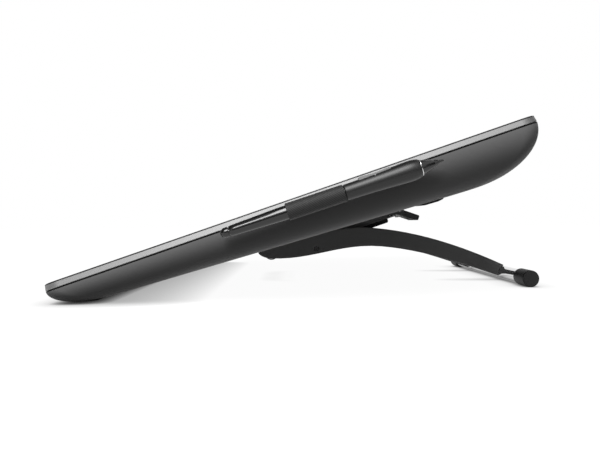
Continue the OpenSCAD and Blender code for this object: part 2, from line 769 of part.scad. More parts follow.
module power_button() color("dimgray") on_body()
    translate([button_x, button_root, -button_w_mid]) rotate([-90, 0, 0]) {
        linear_extrude(body_d + button_proud - button_root)
            round_rect(button_w, button_h, button_h / 2.02);
        linear_extrude(2) round_rect(button_w + 3, button_h + 3, button_h / 2);
    }
module button_switch() color("silver") on_body() translate([button_x, 0, -button_w_mid]) {
    translate([-5, button_root - button_travel - slack - 6, -3]) cube([10, 5, 6]);
    translate([0, button_root - button_travel - slack - 1, 0]) rotate([-90, 0, 0])
        cylinder(h = 1, r = 1.6);
    translate([-5, button_root - button_travel - slack - 7.6, -3])
        cube([led_x - button_x + 8, 1.6, button_w_mid - band_h - fit + 3]);
}
module power_led() color("white") on_body() translate([led_x, 0, -button_w_mid]) {
    led_root = button_root - button_travel - slack - 6 + fit;
    translate([0, led_root, 0]) rotate([-90, 0, 0])
        cylinder(h = body_d - led_root, r = led_r);
}

// Woven loop: a sleeve round the barrel and a double strap into the side of the body
module loop_strap(grow) translate([-pen_out - clip_deep + 2, -strap_t / 2 - grow, loop_from - grow])
    cube([pen_out + clip_deep - 2 - loop_r, strap_t + 2 * grow, loop_len + 2 * grow]);
module pen_loop() color("darkslategray") on_pen() difference() {
    union() {
        translate([0, 0, loop_from]) cylinder(h = loop_len, r = loop_r + web_cloth);
        loop_strap(0);
    }
    translate([0, 0, loop_from - 1]) cylinder(h = loop_len + 2, r = loop_r);
}
module loop_clip() color("dimgray") difference() {
    on_body() translate([half_w - wall, clip_from + loop_len + 10, 0]) rotate([90, 0, 0])
        linear_extrude(loop_len + 10) polygon([
            [-clip_deep, -band_h - fit], [-fit, -band_h - fit], [-fit - slack, -rim_w - 1],
            [-side_inset(clip_low, clip_from) - slack, -clip_low], [-clip_deep, -clip_low]
        ]);
    on_pen() loop_strap(fit);
}

// Base casting: knuckle at the hinge, channel for the lock, ears for the lever
module base_side() {
    at_side = pivot_u + 6;
    translate([pivot_u, -pivot_w]) circle(knuckle_r);
    polygon([
        [pivot_u, -pivot_w + knuckle_r], [at_side, -belly(at_side) - fit],
        [base_u, -belly(base_u) - fit], [base_u, -base_w], [pivot_u, -base_w]
    ]);
}
module ear_side() {
    translate([lever_u, -lever_w]) circle(boss_r + 0.8);
    polygon([
        [base_u - 6, -lever_w + boss_r + 0.8], [lever_u, -lever_w + boss_r + 0.8],
        [lever_u, -lever_w - boss_r - 0.8], [base_u - 0.4, -lever_w - 1], [base_u - 6, -lever_w - 1]
    ]);
}
module stand_base() color("darkgray") on_body() difference() {
    union() {
        across(-base_half, base_half) base_side();
        both_sides() across(handle_half + slack, handle_half + slack + ear_t) ear_side();
    }
    at(pivot_u, pivot_w) rod_across(-base_half - 1, base_half + 1, pin_r + run);
    translate([-channel_half, pivot_u - 20, -base_w - 9])
        cube([2 * channel_half, 34.6, base_w]);
    across(-channel_half, channel_half) polygon([
        [pivot_u, -belly(pivot_u) - channel_roof], [base_u + 9, -belly(base_u + 9) - channel_roof],
        [base_u + 9, -base_w - 9], [pivot_u, -base_w - 9]
    ]);
    at(lever_u, lever_w) rod_across(-base_half, base_half, lever_pin_r + fit);
    for (s = [-1, 1], v = [-1, 1]) translate([s * vesa / 2, vesa_u + v * vesa / 2, 0]) {
        translate([0, 0, -base_w - 1]) cylinder(h = base_w, r = vesa_r + 0.2);
        translate([0, 0, -base_w - 9])
            cylinder(h = base_w + 9 - belly(vesa_u + v * vesa / 2) - vesa_plate, r = 4.2);
    }
}

// Cover under the base: it closes the channel and guides the pull rod
module base_cover() color("dimgray") on_body() difference() {
    across(-lid_half, lid_half) polygon([
        [lid_from, -base_w - fit], [lid_to, -base_w - fit], [lid_to, -lid_w + 1.2],
        [lid_to - 1.2, -lid_w], [lid_from + 1.2, -lid_w], [lid_from, -lid_w + 1.2]
    ]);
    difference() {
        translate([-channel_half, lid_from - 1, -lid_w + lid_floor])
            cube([2 * channel_half, lid_to - lid_from - 2, lid_h]);
        translate([-channel_half - 1, spring_wall_u, -lid_w])
            cube([2 * channel_half + 2, 3, lid_h + 1]);
    }
    translate([0, spring_wall_u - 1, -rod_w]) rotate([-90, 0, 0])
        cylinder(h = base_len, r = rod_r + run);
}

module base_screws() color("silver") on_body() for (s = [-1, 1], v = [-1, 1])
    translate([s * vesa / 2, vesa_u + v * vesa / 2,
        -belly(vesa_u + v * vesa / 2) - vesa_plate - fit]) {
        translate([0, 0, -2.4]) difference() {
            cylinder(h = 2.4, r = 3.8);
            translate([0, 0, -1]) cylinder(h = 2.4, r = 1.5, $fn = 6);
        }
        cylinder(h = vesa_plate + vesa_depth - 1, r = vesa_r - fit);
    }

module lever_pin() color("silver") on_body() at(lever_u, lever_w)
    rod_across(-handle_half - slack - ear_t, handle_half + slack + ear_t, lever_pin_r);

// Arms of the leg, coped round the foot bar and bored for the hinge pin from inside
module arm() on_leg() difference() {
    across(arm_in, arm_out) polygon(arm_outline);
    translate([0, leg_reach, 0]) rod_across(arm_in - 1, arm_out + 1, bar_r + fit);
    rod_across(arm_in - 1, arm_out - 2.9, pin_r + fit);
    translate([0, web_screw[0], web_screw[1]]) {
        rod_across(arm_in - 1, arm_out + 1, web_screw_r + fit);
        rod_across(arm_out - 2.2, arm_out + 1, web_screw_r + 0.9);
    }
}
module arm_right() color("dimgray") arm();
module arm_left() color("dimgray") mirror([1, 0, 0]) arm();

module leg_web() color("slategray") difference() {
    on_leg() difference() {
        union() {
            across(fit - arm_in, arm_in - fit) polygon(concat(
                web_edge(web_inset), reversed(web_edge(web_inset + web_t))));
            both_sides() translate([0, web_screw[0], web_screw[1]])
                rod_across(arm_in - web_boss_len, arm_in - fit, web_boss_r);
        }
        both_sides() translate([0, web_screw[0], web_screw[1]])
            rod_across(arm_in - web_boss_len + 1, arm_in, web_screw_r + fit);
    }
    on_body() both_sides() translate([bumper_x, bumper_u, -bumper_w - bumper_sink])
        cylinder(h = 9, r = bumper_r + fit);
}

module web_screws() color("silver") on_leg() both_sides()
    translate([0, web_screw[0], web_screw[1]]) difference() {
        union() {
            rod_across(arm_in - web_boss_len + 2, arm_out - 2, web_screw_r);
            rod_across(arm_out - 2.1, arm_out - 0.4, web_screw_r + 0.7);
        }
        translate([arm_out - 1.6, 0, 0]) rotate([0, 90, 0]) cylinder(h = 3, r = 1, $fn = 6);
    }

module hinge_pin() color("silver") on_leg() rod_across(-(arm_out - 3), arm_out - 3, pin_r);
module hinge_washers() color("gold") on_leg() both_sides() difference() {
    rod_across(arm_in - washer_t, arm_in - fit, knuckle_r - 1.2);
    rod_across(arm_in - washer_t - 1, arm_in + 1, pin_r + fit);
}
module stop_bumpers() color("black") on_body() both_sides()
    translate([bumper_x, bumper_u, fit - bumper_w - bumper_sink])
        cylinder(h = bumper_w + bumper_sink - lid_w - 2 * fit, r = bumper_r);

module foot_bar() color("white") on_leg() translate([0, leg_reach, 0]) difference() {
    rod_across(2 - bar_half, bar_half - 2, bar_r);
    rod_across(-bar_half, bar_half, bar_r - bar_wall);
}
cap_round = 1.2;
module foot_cap() on_leg() translate([bar_half - cap_len, leg_reach, 0]) rotate([0, 90, 0])
    rotate_extrude() difference() {
        union() {
            square([cap_r, cap_len - cap_round]);
            square([cap_r - cap_round, cap_len]);
            translate([cap_r - cap_round, cap_len - cap_round]) circle(cap_round, $fn = 24);
        }
        translate([-1, -1]) square([bar_r + fit + 1, cap_len - 2 + fit + 1]);
        translate([-2 * cap_r, -1]) square([2 * cap_r, cap_len + 2]);
    }
module foot_cap_right() color("black") foot_cap();
module foot_cap_left() color("black") mirror([1, 0, 0]) foot_cap();

// Lock: a drum on the hinge pin, gripped from behind by a sprung shoe
drum_half = 10;
module brake_drum() color("orange") on_leg() difference() {
    rod_across(-drum_half, drum_half, drum_r);
    rod_across(-drum_half - 1, drum_half + 1, pin_r + fit);
}
module brake_shoe() color("firebrick") on_body() difference() {
    across(-drum_half, drum_half) polygon([
        [pivot_u + 2, -pivot_w + 5], [shoe_back, -pivot_w + 5],
        [shoe_back, -lid_w + lid_floor + slack], [lid_from + slack, -lid_w + lid_floor + slack],
        [lid_from + slack, -base_w + slack], [pivot_u + 2, -base_w + slack]
    ]);
    at(pivot_u, pivot_w) rod_across(-drum_half - 1, drum_half + 1, drum_r + run);
    translate([0, shoe_back - 8, -rod_w]) rotate([-90, 0, 0]) cylinder(h = 9, r = rod_r + fit);
}
rod_eye_half = 2.6;
eye_r = 1.65;
cross_r = 1;
module pull_rod() color("silver") on_body() {
    translate([0, shoe_back - 7.9, -rod_w]) rotate([-90, 0, 0])
        cylinder(h = lever_u - shoe_back + 7.9, r = rod_r);
    at(lever_u, rod_w) {
        rod_across(-rod_eye_half, rod_eye_half, eye_r);
        rod_across(-crank_half + 1, crank_half - 1, cross_r);
    }
}

// Return spring round the rod, one swept tube
spring_wire = 0.3;
spring_r = rod_r + spring_wire + 0.2;
spring_turns = 9;
spring_len = spring_wall_u - shoe_back - brake_travel - slack;
spring_steps = 8;
spring_sides = 6;
module brake_spring() color("gainsboro") on_body()
    translate([0, shoe_back + spring_wire + fit, -rod_w]) rotate([-90, 0, 0]) {
        n = spring_turns * spring_steps;
        rise = spring_len - 2 * spring_wire;
        points = [for (i = [0:n], k = [0:spring_sides - 1])
            let (a = 360 * i / spring_steps, b = 360 * k / spring_sides,
                r = spring_r + spring_wire * cos(b))
            [r * cos(a), r * sin(a), rise * i / n + spring_wire * sin(b)]];
        sides = [for (i = [0:n - 1], k = [0:spring_sides - 1], h = [0, 1])
            let (p = i * spring_sides + k, q = i * spring_sides + (k + 1) % spring_sides)
            h == 0 ? [p, q + spring_sides, q] : [p, p + spring_sides, q + spring_sides]];
        ends = [
            [for (k = [0:spring_sides - 1]) k],
            [for (k = [spring_sides - 1:-1:0]) n * spring_sides + k]
        ];
        polyhedron(points, concat(sides, ends));
    }

// Release lever: the handle slopes away from the body, the crank pulls the rod
module on_lever() on_body() at(lever_u, lever_w) children();
module handle_side() rotate(-handle_angle) polygon([
    [-0.6, 1.6], [handle_len - 1, 1.6], [handle_len, 0.6],
    [handle_len, 2.2 - handle_t], [handle_len - 1.2, 1.6 - handle_t], [2.4, 1.6 - handle_t]
]);
module release_lever() color("dimgray") on_lever() difference() {
    union() {
        across(-handle_half, handle_half) handle_side();
        both_sides() rod_across(crank_half + fit, handle_half, boss_r);
    }
    rod_across(-crank_half - fit, crank_half + fit, boss_r + fit);
    at(0, crank) rod_across(-crank_half - fit, crank_half + fit, eye_r + 3 * slack);
    rod_across(-handle_half - 1, handle_half + 1, lever_pin_r + run);
}
crank_toe = 13.3;
toe_drop = 10;
crank_tip = 1.8;
tip_low = 3;
module lever_crank() color("lightgray") on_lever() difference() {
    union() {
        rod_across(-crank_half, crank_half, boss_r);
        difference() {
            across(-crank_half, crank_half) polygon([
                [-boss_r, 0], [boss_r, 0], [crank_toe, -crank - toe_drop],
                [crank_tip, -crank - tip_low], [-crank_tip, -crank - tip_low]
            ]);
            across(-crank_half - 1, crank_half + 1) rotate(-handle_angle)
                translate([1.2, 1.6 - handle_t - fit]) square([handle_len, 20]);
        }
    }
    rod_across(-crank_half - 1, crank_half + 1, lever_pin_r + run);
    across(-rod_eye_half - slack, rod_eye_half + slack)
        translate([-2 * boss_r, -crank - 2 * toe_drop])
            square([2 * crank_toe, 2 * toe_drop + eye_r + slack]);
    across(-crank_half + 0.7, crank_half - 0.7) translate([-cross_r - slack / 2, -crank - cross_r - slack])
        square([2 * cross_r + slack, 2 * cross_r + 2 * slack]);
}

// Pen, each piece turned round its axis
module turned() rotate_extrude() children();
module pen_barrel() color("dimgray") on_pen() difference() {
    turned() polygon([
        [0, eraser_len + eraser_gap], [tail_r - 0.4, eraser_len + eraser_gap],
        [tail_r, eraser_len + eraser_gap + 0.6], [barrel_r, loop_from - 4], [barrel_r, grip_from - fit],
        [tube_r, grip_from - fit], [tube_r, ring_at - 1], [0, ring_at - 1]
    ]);
    translate([0, 0, eraser_len]) cylinder(h = 9, r = stem_r + run);
    translate([0, 0, 16]) cylinder(h = pen_len, r = core_r + fit);
    switch_pocket(slack);
}
grip_curve = [
    [grip_r, grip_from + 0.6], [grip_r + 0.4, grip_from + 26],
    [flare_r - 0.2, ring_at - 16], [flare_r, ring_at - 8]
];
shoulder_curve = [
    [flare_r, ring_at - 8], [flare_r, ring_at - 4], [ring_r + 0.9, ring_at - 1.6],
    [ring_r + 0.3, ring_at - fit]
];
module switch_pocket(grow) translate([-switch_w / 2 - grow, -flare_r - 2, switch_from - grow])
    cube([switch_w + 2 * grow, flare_r + 2 - core_r - 0.7, switch_len + 2 * grow]);
module pen_grip() color("black") on_pen() difference() {
    turned() polygon(concat(
        [[tube_r + fit, grip_from], [grip_r - 0.5, grip_from]],
        curve(grip_curve, 12), curve(shoulder_curve, 8),
        [[ring_r + 0.3, ring_at - fit], [tube_r + fit, ring_at - fit]]
    ));
    switch_pocket(slack);
    translate([0, -switch_axis, switch_mid]) rod_across(-4, 4, trunnion_r + run);
}
module pen_ring() color("white") on_pen() turned() polygon([
    [core_r + fit, ring_at], [ring_r - 0.3, ring_at], [ring_r, ring_at + 0.3],
    [ring_r, ring_at + ring_len - 0.3], [ring_r - 0.3, ring_at + ring_len], [core_r + fit, ring_at + ring_len]
]);
module pen_nose() color("dimgray") on_pen() difference() {
    turned() polygon([
        [0, ring_at + ring_len + fit], [ring_r - 0.5, ring_at + ring_len + fit],
        [nose_r + 1.2, nose_end - 3.2], [nose_r + 0.7, nose_end - 3], [nose_r, nose_end], [0, nose_end]
    ]);
    translate([0, 0, ring_at]) cylinder(h = 4.5, r = core_r + fit);
    translate([0, 0, ring_at]) cylinder(h = pen_len, r = nib_r + run);
}
module pen_core() color("green") on_pen() translate([0, 0, 17])
    cylinder(h = core_end - 17, r = core_r);
module pen_nib() color("black") on_pen() turned() polygon([
    [0, nib_from], [nib_r, nib_from], [nib_r, pen_len - 2.2],
    [nib_r * 0.75, pen_len - 0.7], [nib_r * 0.4, pen_len - 0.1], [0, pen_len]
]);
module pen_switch() color("gray") on_pen() {
    translate([-switch_w / 2, 0, 0]) rotate([90, 0, 90]) linear_extrude(switch_w) polygon([
        [-switch_axis + 0.5, switch_from + 1], [-switch_axis + 0.5, switch_from + switch_len - 1],
        [-switch_axis - 0.4, switch_from + switch_len], [-switch_top + 0.5, switch_from + switch_len],
        [-switch_top, switch_from + switch_len - 1.2], [-switch_top + 0.5, switch_mid + 2],
        [-switch_top + 0.5, switch_mid - 2], [-switch_top, switch_from + 1.2],
        [-switch_top + 0.5, switch_from], [-switch_axis - 0.4, switch_from]
    ]);
    translate([0, -switch_axis, switch_mid]) rod_across(-3.9, 3.9, trunnion_r);
}
module pen_eraser() color("dimgray") on_pen() turned() union() {
    intersection() {
        translate([0, tail_r]) circle(tail_r - 0.2);
        square([tail_r, tail_r]);
    }
    translate([0, tail_r - fit]) square([tail_r - 0.2, eraser_len - tail_r + fit]);
    translate([0, tail_r]) square([stem_r, eraser_len + 6 - tail_r]);
}

cover_glass();
front_frame();
lcd_cell();
diffuser_sheets();
light_guide();
led_bar();
panel_tray();
sensor_board();
shield_plate();
mid_frame();
display_flex();
main_board();
dc_jack();
hdmi_socket();
usb_socket();
port_bay();
vent_grille();
rear_cover();
case_screws();
front_foot();
rear_feet();
power_button();
button_switch();
power_led();
pen_loop();
loop_clip();
stand_base();
base_cover();
base_screws();
lever_pin();
arm_right();
arm_left();
leg_web();
web_screws();
hinge_pin();
hinge_washers();
stop_bumpers();
foot_bar();
foot_cap_right();
foot_cap_left();
brake_drum();
brake_shoe();
pull_rod();
brake_spring();
release_lever();
lever_crank();
pen_barrel();
pen_grip();
pen_ring();
pen_nose();
pen_core();
pen_nib();
pen_switch();
pen_eraser();
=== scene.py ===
import math

import bmesh
import bpy
import numpy as np
from mathutils import Matrix, Vector


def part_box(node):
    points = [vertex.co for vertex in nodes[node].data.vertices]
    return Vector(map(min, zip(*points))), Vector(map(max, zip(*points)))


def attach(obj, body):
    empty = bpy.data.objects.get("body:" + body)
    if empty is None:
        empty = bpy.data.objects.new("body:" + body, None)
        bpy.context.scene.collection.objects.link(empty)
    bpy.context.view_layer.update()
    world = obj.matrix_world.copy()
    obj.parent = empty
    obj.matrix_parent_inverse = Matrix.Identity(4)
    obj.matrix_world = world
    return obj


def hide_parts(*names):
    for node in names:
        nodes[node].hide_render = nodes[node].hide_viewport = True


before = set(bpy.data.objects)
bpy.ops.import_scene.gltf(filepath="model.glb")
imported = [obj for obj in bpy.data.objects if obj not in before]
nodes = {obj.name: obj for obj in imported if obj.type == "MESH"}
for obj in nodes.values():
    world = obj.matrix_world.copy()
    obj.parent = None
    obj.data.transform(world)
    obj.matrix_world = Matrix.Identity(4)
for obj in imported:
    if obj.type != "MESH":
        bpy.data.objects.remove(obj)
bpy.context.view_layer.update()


# The view
# A camera level with the pen and square to the right hand side of the display,
# as a catalogue photographer would stand to show the stand and the pen at once.
SENSOR_WIDTH, FOCAL_LENGTH, LENS_SHIFT = 36, 46.02, -0.0067
CAMERA_AT, CAMERA_ROLL = (0.815, 0.160535, 0.05785), math.radians(-0.318)
bpy.context.scene.view_settings.view_transform = "Standard"
lens = bpy.data.cameras.new("side_camera")
lens.sensor_width, lens.lens, lens.shift_y = SENSOR_WIDTH, FOCAL_LENGTH, LENS_SHIFT
camera = bpy.data.objects.new("side_camera", lens)
camera.location = CAMERA_AT
level = Matrix.Rotation(math.radians(90), 3, "Z") @ Matrix.Rotation(math.radians(90), 3, "X")
camera.rotation_euler = (level @ Matrix.Rotation(CAMERA_ROLL, 3, "Z")).to_euler()
bpy.context.collection.objects.link(camera)
bpy.context.scene.camera = camera


# The studio
# A seamless pale sweep with one tall softbox on the pen's side, and dark cards in the gloss.
# The sweep shows white to the camera and in gloss; its matt part keeps the shadow that the object
# casts, and its glow carries a painted contact shadow where the object comes close.
class Wire:
    """One output of a node. Arithmetic on wires adds Math nodes to the same tree."""

    def __init__(self, tree, socket=None):
        self.tree, self.socket = tree, socket

    def node(self, kind, settings=None, values=None, out=0):
        """Adds any node: its settings first, then the values or links of its sockets."""
        made = self.tree.nodes.new(kind)
        for key, value in (settings or {}).items():
            setattr(made, key, value)
        for key, value in (values or {}).items():
            socket = made.inputs[key]
            for one in value if isinstance(value, list) else [value]:
                if isinstance(one, Wire):
                    self.tree.links.new(one.socket, socket)
                else:
                    socket.default_value = one
        return Wire(self.tree, made.outputs[out] if made.outputs else None)

    def out(self, name):
        """Another output of the same node."""
        return Wire(self.tree, self.socket.node.outputs[name])

    def math(self, operation, *others):
        """A Math node with this wire as its first number."""
        values = dict(enumerate((self, *others)))
        return self.node("ShaderNodeMath", {"operation": operation}, values)

    def under(self, operation, other):
        """The reflected form, with this wire as the second number."""
        return self.node("ShaderNodeMath", {"operation": operation}, {0: other, 1: self})

    def split(self):
        """The parts of a vector: x here, and the others by out("Y") and out("Z")."""
        return self.node("ShaderNodeSeparateXYZ", values={0: self})

    def tint(self, low, high):
        """The colour between two others, as this value goes from 0 to 1."""
        return self.node("ShaderNodeMix", {"data_type": "RGBA"}, {0: self, 6: low, 7: high}, 2)

    def __add__(self, other):
        return self.math("ADD", other)

    def __sub__(self, other):
        return self.math("SUBTRACT", other)

    def __mul__(self, other):
        return self.math("MULTIPLY", other)

    def __truediv__(self, other):
        return self.math("DIVIDE", other)

    def __rsub__(self, other):
        return self.under("SUBTRACT", other)

    def __rtruediv__(self, other):
        return self.under("DIVIDE", other)

    def __lt__(self, other):
        return self.math("LESS_THAN", other)

    def __gt__(self, other):
        return self.math("GREATER_THAN", other)

    __radd__, __rmul__ = __add__, __mul__


def shown_as_backdrop(start):
    """1 for rays that show the sweep itself: to the camera, in gloss or through glass."""
    ray = start.node("ShaderNodeLightPath", out="Is Camera Ray")
    return (ray + ray.out("Is Glossy Ray") + ray.out("Is Transmission Ray")).math("MINIMUM", 1.0)


def new_finish(name):
    """A material with an empty tree, and the wire of its Object coordinates."""
    finish = bpy.data.materials.new(name)
    finish.use_nodes = True
    finish.node_tree.nodes.clear()
    return finish, Wire(finish.node_tree).node("ShaderNodeTexCoord", out="Object")


def noise(place, scale, detail=2.0, squeeze=None):
    """Noise on a place, squeezed along its axes where a grain runs one way."""
    if squeeze:
        place = place.node("ShaderNodeMapping", values={"Vector": place, "Scale": squeeze})
    return place.node("ShaderNodeTexNoise", values={
        "Vector": place, "Scale": scale, "Detail": detail})


AIR_LIGHT = 0.2
world = bpy.data.worlds.new("white_studio")
world.use_nodes = True
world.node_tree.nodes.clear()
air = Wire(world.node_tree)
air = air.node("ShaderNodeBackground", values={
    "Color": (1, 1, 1, 1),
    "Strength": shown_as_backdrop(air) * (1 - AIR_LIGHT) + AIR_LIGHT,
})
air.node("ShaderNodeOutputWorld", values={"Surface": air})
bpy.context.scene.world = world

SWEEP_HALF, SWEEP_MID = 6.0, (0, 0.16, -0.0001)
SWEEP_DULL, SWEEP_WHITE = (0.09, 0.09, 0.09, 1), (0.1, 0.1, 0.1, 1)
SWEEP_GLOW, SWEEP_FAR_GLOW, FAR_FROM, FAR_TO = 0.96, 1.0, 0.45, 0.9
CONTACT_REACH, NEARBY_REACH, CONTACT_SHARE = 0.005, 0.023, 0.4
paper, spot = new_finish("sweep_paper")
contact, nearby = (
    spot.node("ShaderNodeAmbientOcclusion", {"samples": 16}, {"Distance": reach}, out="AO")
    for reach in (CONTACT_REACH, NEARBY_REACH))
far = spot.node("ShaderNodeVectorMath", {"operation": "LENGTH"}, {0: spot}, out="Value")
far = spot.node("ShaderNodeMapRange", {"interpolation_type": "SMOOTHSTEP"},
                {"Value": far, "From Min": FAR_FROM, "From Max": FAR_TO})
# Painted contact shadow: the glow is darkened by ambient occlusion within 5 and 23 mm of the object.
shade = contact * CONTACT_SHARE + nearby * (1 - CONTACT_SHARE)
glow = (shade * SWEEP_GLOW * (1 - far) + far * SWEEP_FAR_GLOW) * shown_as_backdrop(spot)
fibre = noise(spot, 60.0).tint(SWEEP_DULL, SWEEP_WHITE)
matt = spot.node("ShaderNodeBsdfDiffuse", values={"Color": fibre})
lit = spot.node("ShaderNodeEmission", values={"Strength": glow})
both = spot.node("ShaderNodeAddShader", values={0: matt, 1: lit})
both.node("ShaderNodeOutputMaterial", values={"Surface": both})

sheet = bmesh.new()
bmesh.ops.create_grid(sheet, x_segments=8, y_segments=8, size=SWEEP_HALF)
bmesh.ops.translate(sheet, verts=sheet.verts, vec=SWEEP_MID)
sweep_mesh = bpy.data.meshes.new("paper_sweep")
sheet.to_mesh(sweep_mesh)
sheet.free()
sweep_mesh.materials.append(paper)
sweep = bpy.data.objects.new("paper_sweep", sweep_mesh)
bpy.context.collection.objects.link(sweep)


def softbox(name, at, aim, width, height, radiance):
    """A rectangular lamp that faces a point; its power follows from its brightness and area."""
    lamp = bpy.data.lights.new(name, "AREA")
    lamp.shape, lamp.size, lamp.size_y = "RECTANGLE", width, height
    lamp.energy = radiance * math.pi * width * height
    holder = bpy.data.objects.new(name, lamp)
    holder.location = at
    holder.visible_camera = False
    holder.rotation_euler = (Vector(aim) - Vector(at)).to_track_quat("-Z", "Y").to_euler()
    bpy.context.collection.objects.link(holder)


softbox("pen_side_softbox", at=(1.22, -0.13, 1.12), aim=(0.28, 0.17, 0.07),
        width=0.62, height=1.0, radiance=14.5)

felt, place = new_finish("black_card_felt")
nap = noise(place, 90.0).tint((0.012, 0.012, 0.012, 1), (0.02, 0.02, 0.02, 1))
nap = place.node("ShaderNodeBsdfDiffuse", values={"Color": nap})
nap.node("ShaderNodeOutputMaterial", values={"Surface": nap})


def black_card(name, corners):
    """A dark card beside the set, which shows in gloss and neither in the picture nor as shade."""
    mesh = bpy.data.meshes.new(name)
    mesh.from_pydata(corners, [], [range(len(corners))])
    mesh.materials.append(felt)
    card = bpy.data.objects.new(name, mesh)
    card.visible_camera = card.visible_diffuse = card.visible_shadow = False
    bpy.context.collection.objects.link(card)


CARD_LEFT, CARD_RIGHT, CARD_TOP = -0.2, 1.1, 0.8
for name, along in (("front_card", -0.62), ("back_card", 1.0)):
    black_card(name, [(CARD_LEFT, along, 0), (CARD_RIGHT, along, 0),
                      (CARD_RIGHT, along, CARD_TOP), (CARD_LEFT, along, CARD_TOP)])
DESK_FROM, DESK_TO, DESK_NEAR, DESK_FAR, DESK_RISE = 0.7, 2.1, -0.9, 1.3, 0.001
black_card("desk_card", [(DESK_FROM, DESK_NEAR, DESK_RISE), (DESK_TO, DESK_NEAR, DESK_RISE),
                         (DESK_TO, DESK_FAR, DESK_RISE), (DESK_FROM, DESK_FAR, DESK_RISE)])
BEHIND_TOP = 0.5
black_card("camera_card", [(DESK_TO, DESK_NEAR, 0), (DESK_TO, DESK_FAR, 0),
                           (DESK_TO, DESK_FAR, BEHIND_TOP), (DESK_TO, DESK_NEAR, BEHIND_TOP)])
ROOF, ROOF_HALF, ROOF_NEAR, ROOF_FAR = 2.0, 2.2, -1.8, 0.75
black_card("ceiling_card", [(-ROOF_HALF, ROOF_NEAR, ROOF), (ROOF_HALF, ROOF_NEAR, ROOF),
                            (ROOF_HALF, ROOF_FAR, ROOF), (-ROOF_HALF, ROOF_FAR, ROOF)])


# Screen stack
# Liquid crystal cell, diffuser films, light guide and lamp strip, laid into a pressed steel tray.
# The tray's folded lips hold the stack, and the cover glass is bonded over it.
def grey(level, red=1.0, blue=1.0):
    """A colour from an 8-bit screen level, warmer or cooler by its red and blue shares."""
    value = level / 255
    value = value / 12.92 if value <= 0.04045 else ((value + 0.055) / 1.055) ** 2.4
    return (value * red, value, value * blue, 1)


def close_finish(place, values):
    """Ends a material in one Principled shader."""
    shader = place.node("ShaderNodeBsdfPrincipled", values=values)
    shader.node("ShaderNodeOutputMaterial", values={"Surface": shader})


def relief(place, height, strength, depth):
    """A bump whose height follows a pattern."""
    return place.node("ShaderNodeBump", values={
        "Height": height, "Strength": strength, "Distance": depth})


def dress(finish, *names):
    """Gives a finish to CAD nodes whose own shape stays in view."""
    for name in names:
        for held in nodes[name].material_slots:
            held.material = finish


def sheet_metal(name, level, rough, squeeze=(1, 14, 14)):
    """Bare metal with the fine lines of rolling or drawing, and a cloudy gloss."""
    finish, place = new_finish(name)
    lines = noise(place, 700.0, 3.0, squeeze)
    cloud = noise(place, 26.0, 3.0)
    close_finish(place, {
        "Base Color": lines.tint(grey(level - 14), grey(level)),
        "Metallic": 1.0,
        "Roughness": lines * 0.1 + cloud * 0.12 + (rough - 0.11),
        "Normal": relief(place, lines, 0.2, 0.00004),
    })
    return finish


panel_glass, place = new_finish("panel_glass")
rows = place.node("ShaderNodeTexBrick", {"offset": 0.0}, {
    "Vector": place, "Scale": 900.0, "Mortar Size": 0.04, "Color1": grey(30), "Color2": grey(34),
    "Mortar": grey(10), "Brick Width": 0.33, "Row Height": 1.0})
close_finish(place, {"Base Color": rows, "Roughness": noise(place, 40.0) * 0.1 + 0.08})

film, place = new_finish("diffuser_film")
prisms = place.node("ShaderNodeTexWave", {"bands_direction": "X"}, {
    "Vector": place, "Scale": 800.0, "Distortion": 0.2})
close_finish(place, {
    "Base Color": prisms.tint((0.72, 0.66, 0.5, 1), (0.8, 0.76, 0.62, 1)),
    "Roughness": noise(place, 300.0) * 0.2 + 0.3,
    "Normal": relief(place, prisms, 0.3, 0.00003)})

clear_acrylic, place = new_finish("clear_acrylic")
cloud = noise(place, 120.0)
close_finish(place, {
    "Base Color": cloud.tint((0.8, 0.86, 0.86, 1), (0.9, 0.94, 0.94, 1)),
    "Roughness": cloud * 0.1 + 0.12, "Transmission Weight": 0.7, "IOR": 1.49})

circuit_board, place = new_finish("circuit_board")
tracks = place.node("ShaderNodeTexBrick", values={
    "Vector": place, "Scale": 160.0, "Mortar Size": 0.05, "Color1": (0.012, 0.085, 0.03, 1),
    "Color2": (0.016, 0.1, 0.036, 1), "Mortar": (0.05, 0.22, 0.08, 1)})
pads = place.node("ShaderNodeTexVoronoi", values={"Vector": place, "Scale": 420.0}) < 0.16
close_finish(place, {
    "Base Color": pads.tint(tracks, (0.62, 0.5, 0.22, 1)),
    "Metallic": pads * 0.9, "Roughness": 0.45 - pads * 0.15,
    "Normal": relief(place, pads, 0.3, 0.00005)})

plated_tray = sheet_metal("plated_tray", 196, 0.34)
dress(panel_glass, "lcd_cell")
dress(film, "diffuser_sheets")
dress(clear_acrylic, "light_guide")
dress(circuit_board, "led_bar")
dress(plated_tray, "panel_tray")


# Boards and sockets
# Pen sensing board with its steel shield, the plate that stiffens the body, and the main board.
# The board's sockets face into the port bay; a folded flat cable joins it to the screen.
plated_steel = sheet_metal("plated_steel", 206, 0.26, (6, 6, 6))


def moulded(name, level, rough, shine, grain=2600.0, depth=0.00003):
    """Moulded plastic with a spark-eroded texture, drifting a little in shade and gloss."""
    finish, place = new_finish(name)
    pits = noise(place, grain, 2.0)
    drift = noise(place, 14.0, 3.0)
    close_finish(place, {
        "Base Color": (drift * 0.7 + pits * 0.3).tint(grey(level - 5), grey(level + 5)),
        "Roughness": drift * 0.08 + pits * 0.08 + (rough - 0.08),
        "Specular IOR Level": shine,
        "Normal": relief(place, pits, 0.45, depth),
    })
    return finish


black_plastic = moulded("black_plastic", 46, 0.5, 0.3)
dress(circuit_board, "sensor_board", "main_board")
dress(plated_steel, "shield_plate", "hdmi_socket", "usb_socket")
dress(plated_tray, "mid_frame")
dress(film, "display_flex")
dress(black_plastic, "dc_jack")


# Rear cover
# One deep tray moulded in black ABS with a fine spark texture; its walls roll under in long curves
# to a flat, sloping floor. Posts inside take the screws, and two scoops clear the leg's arms.

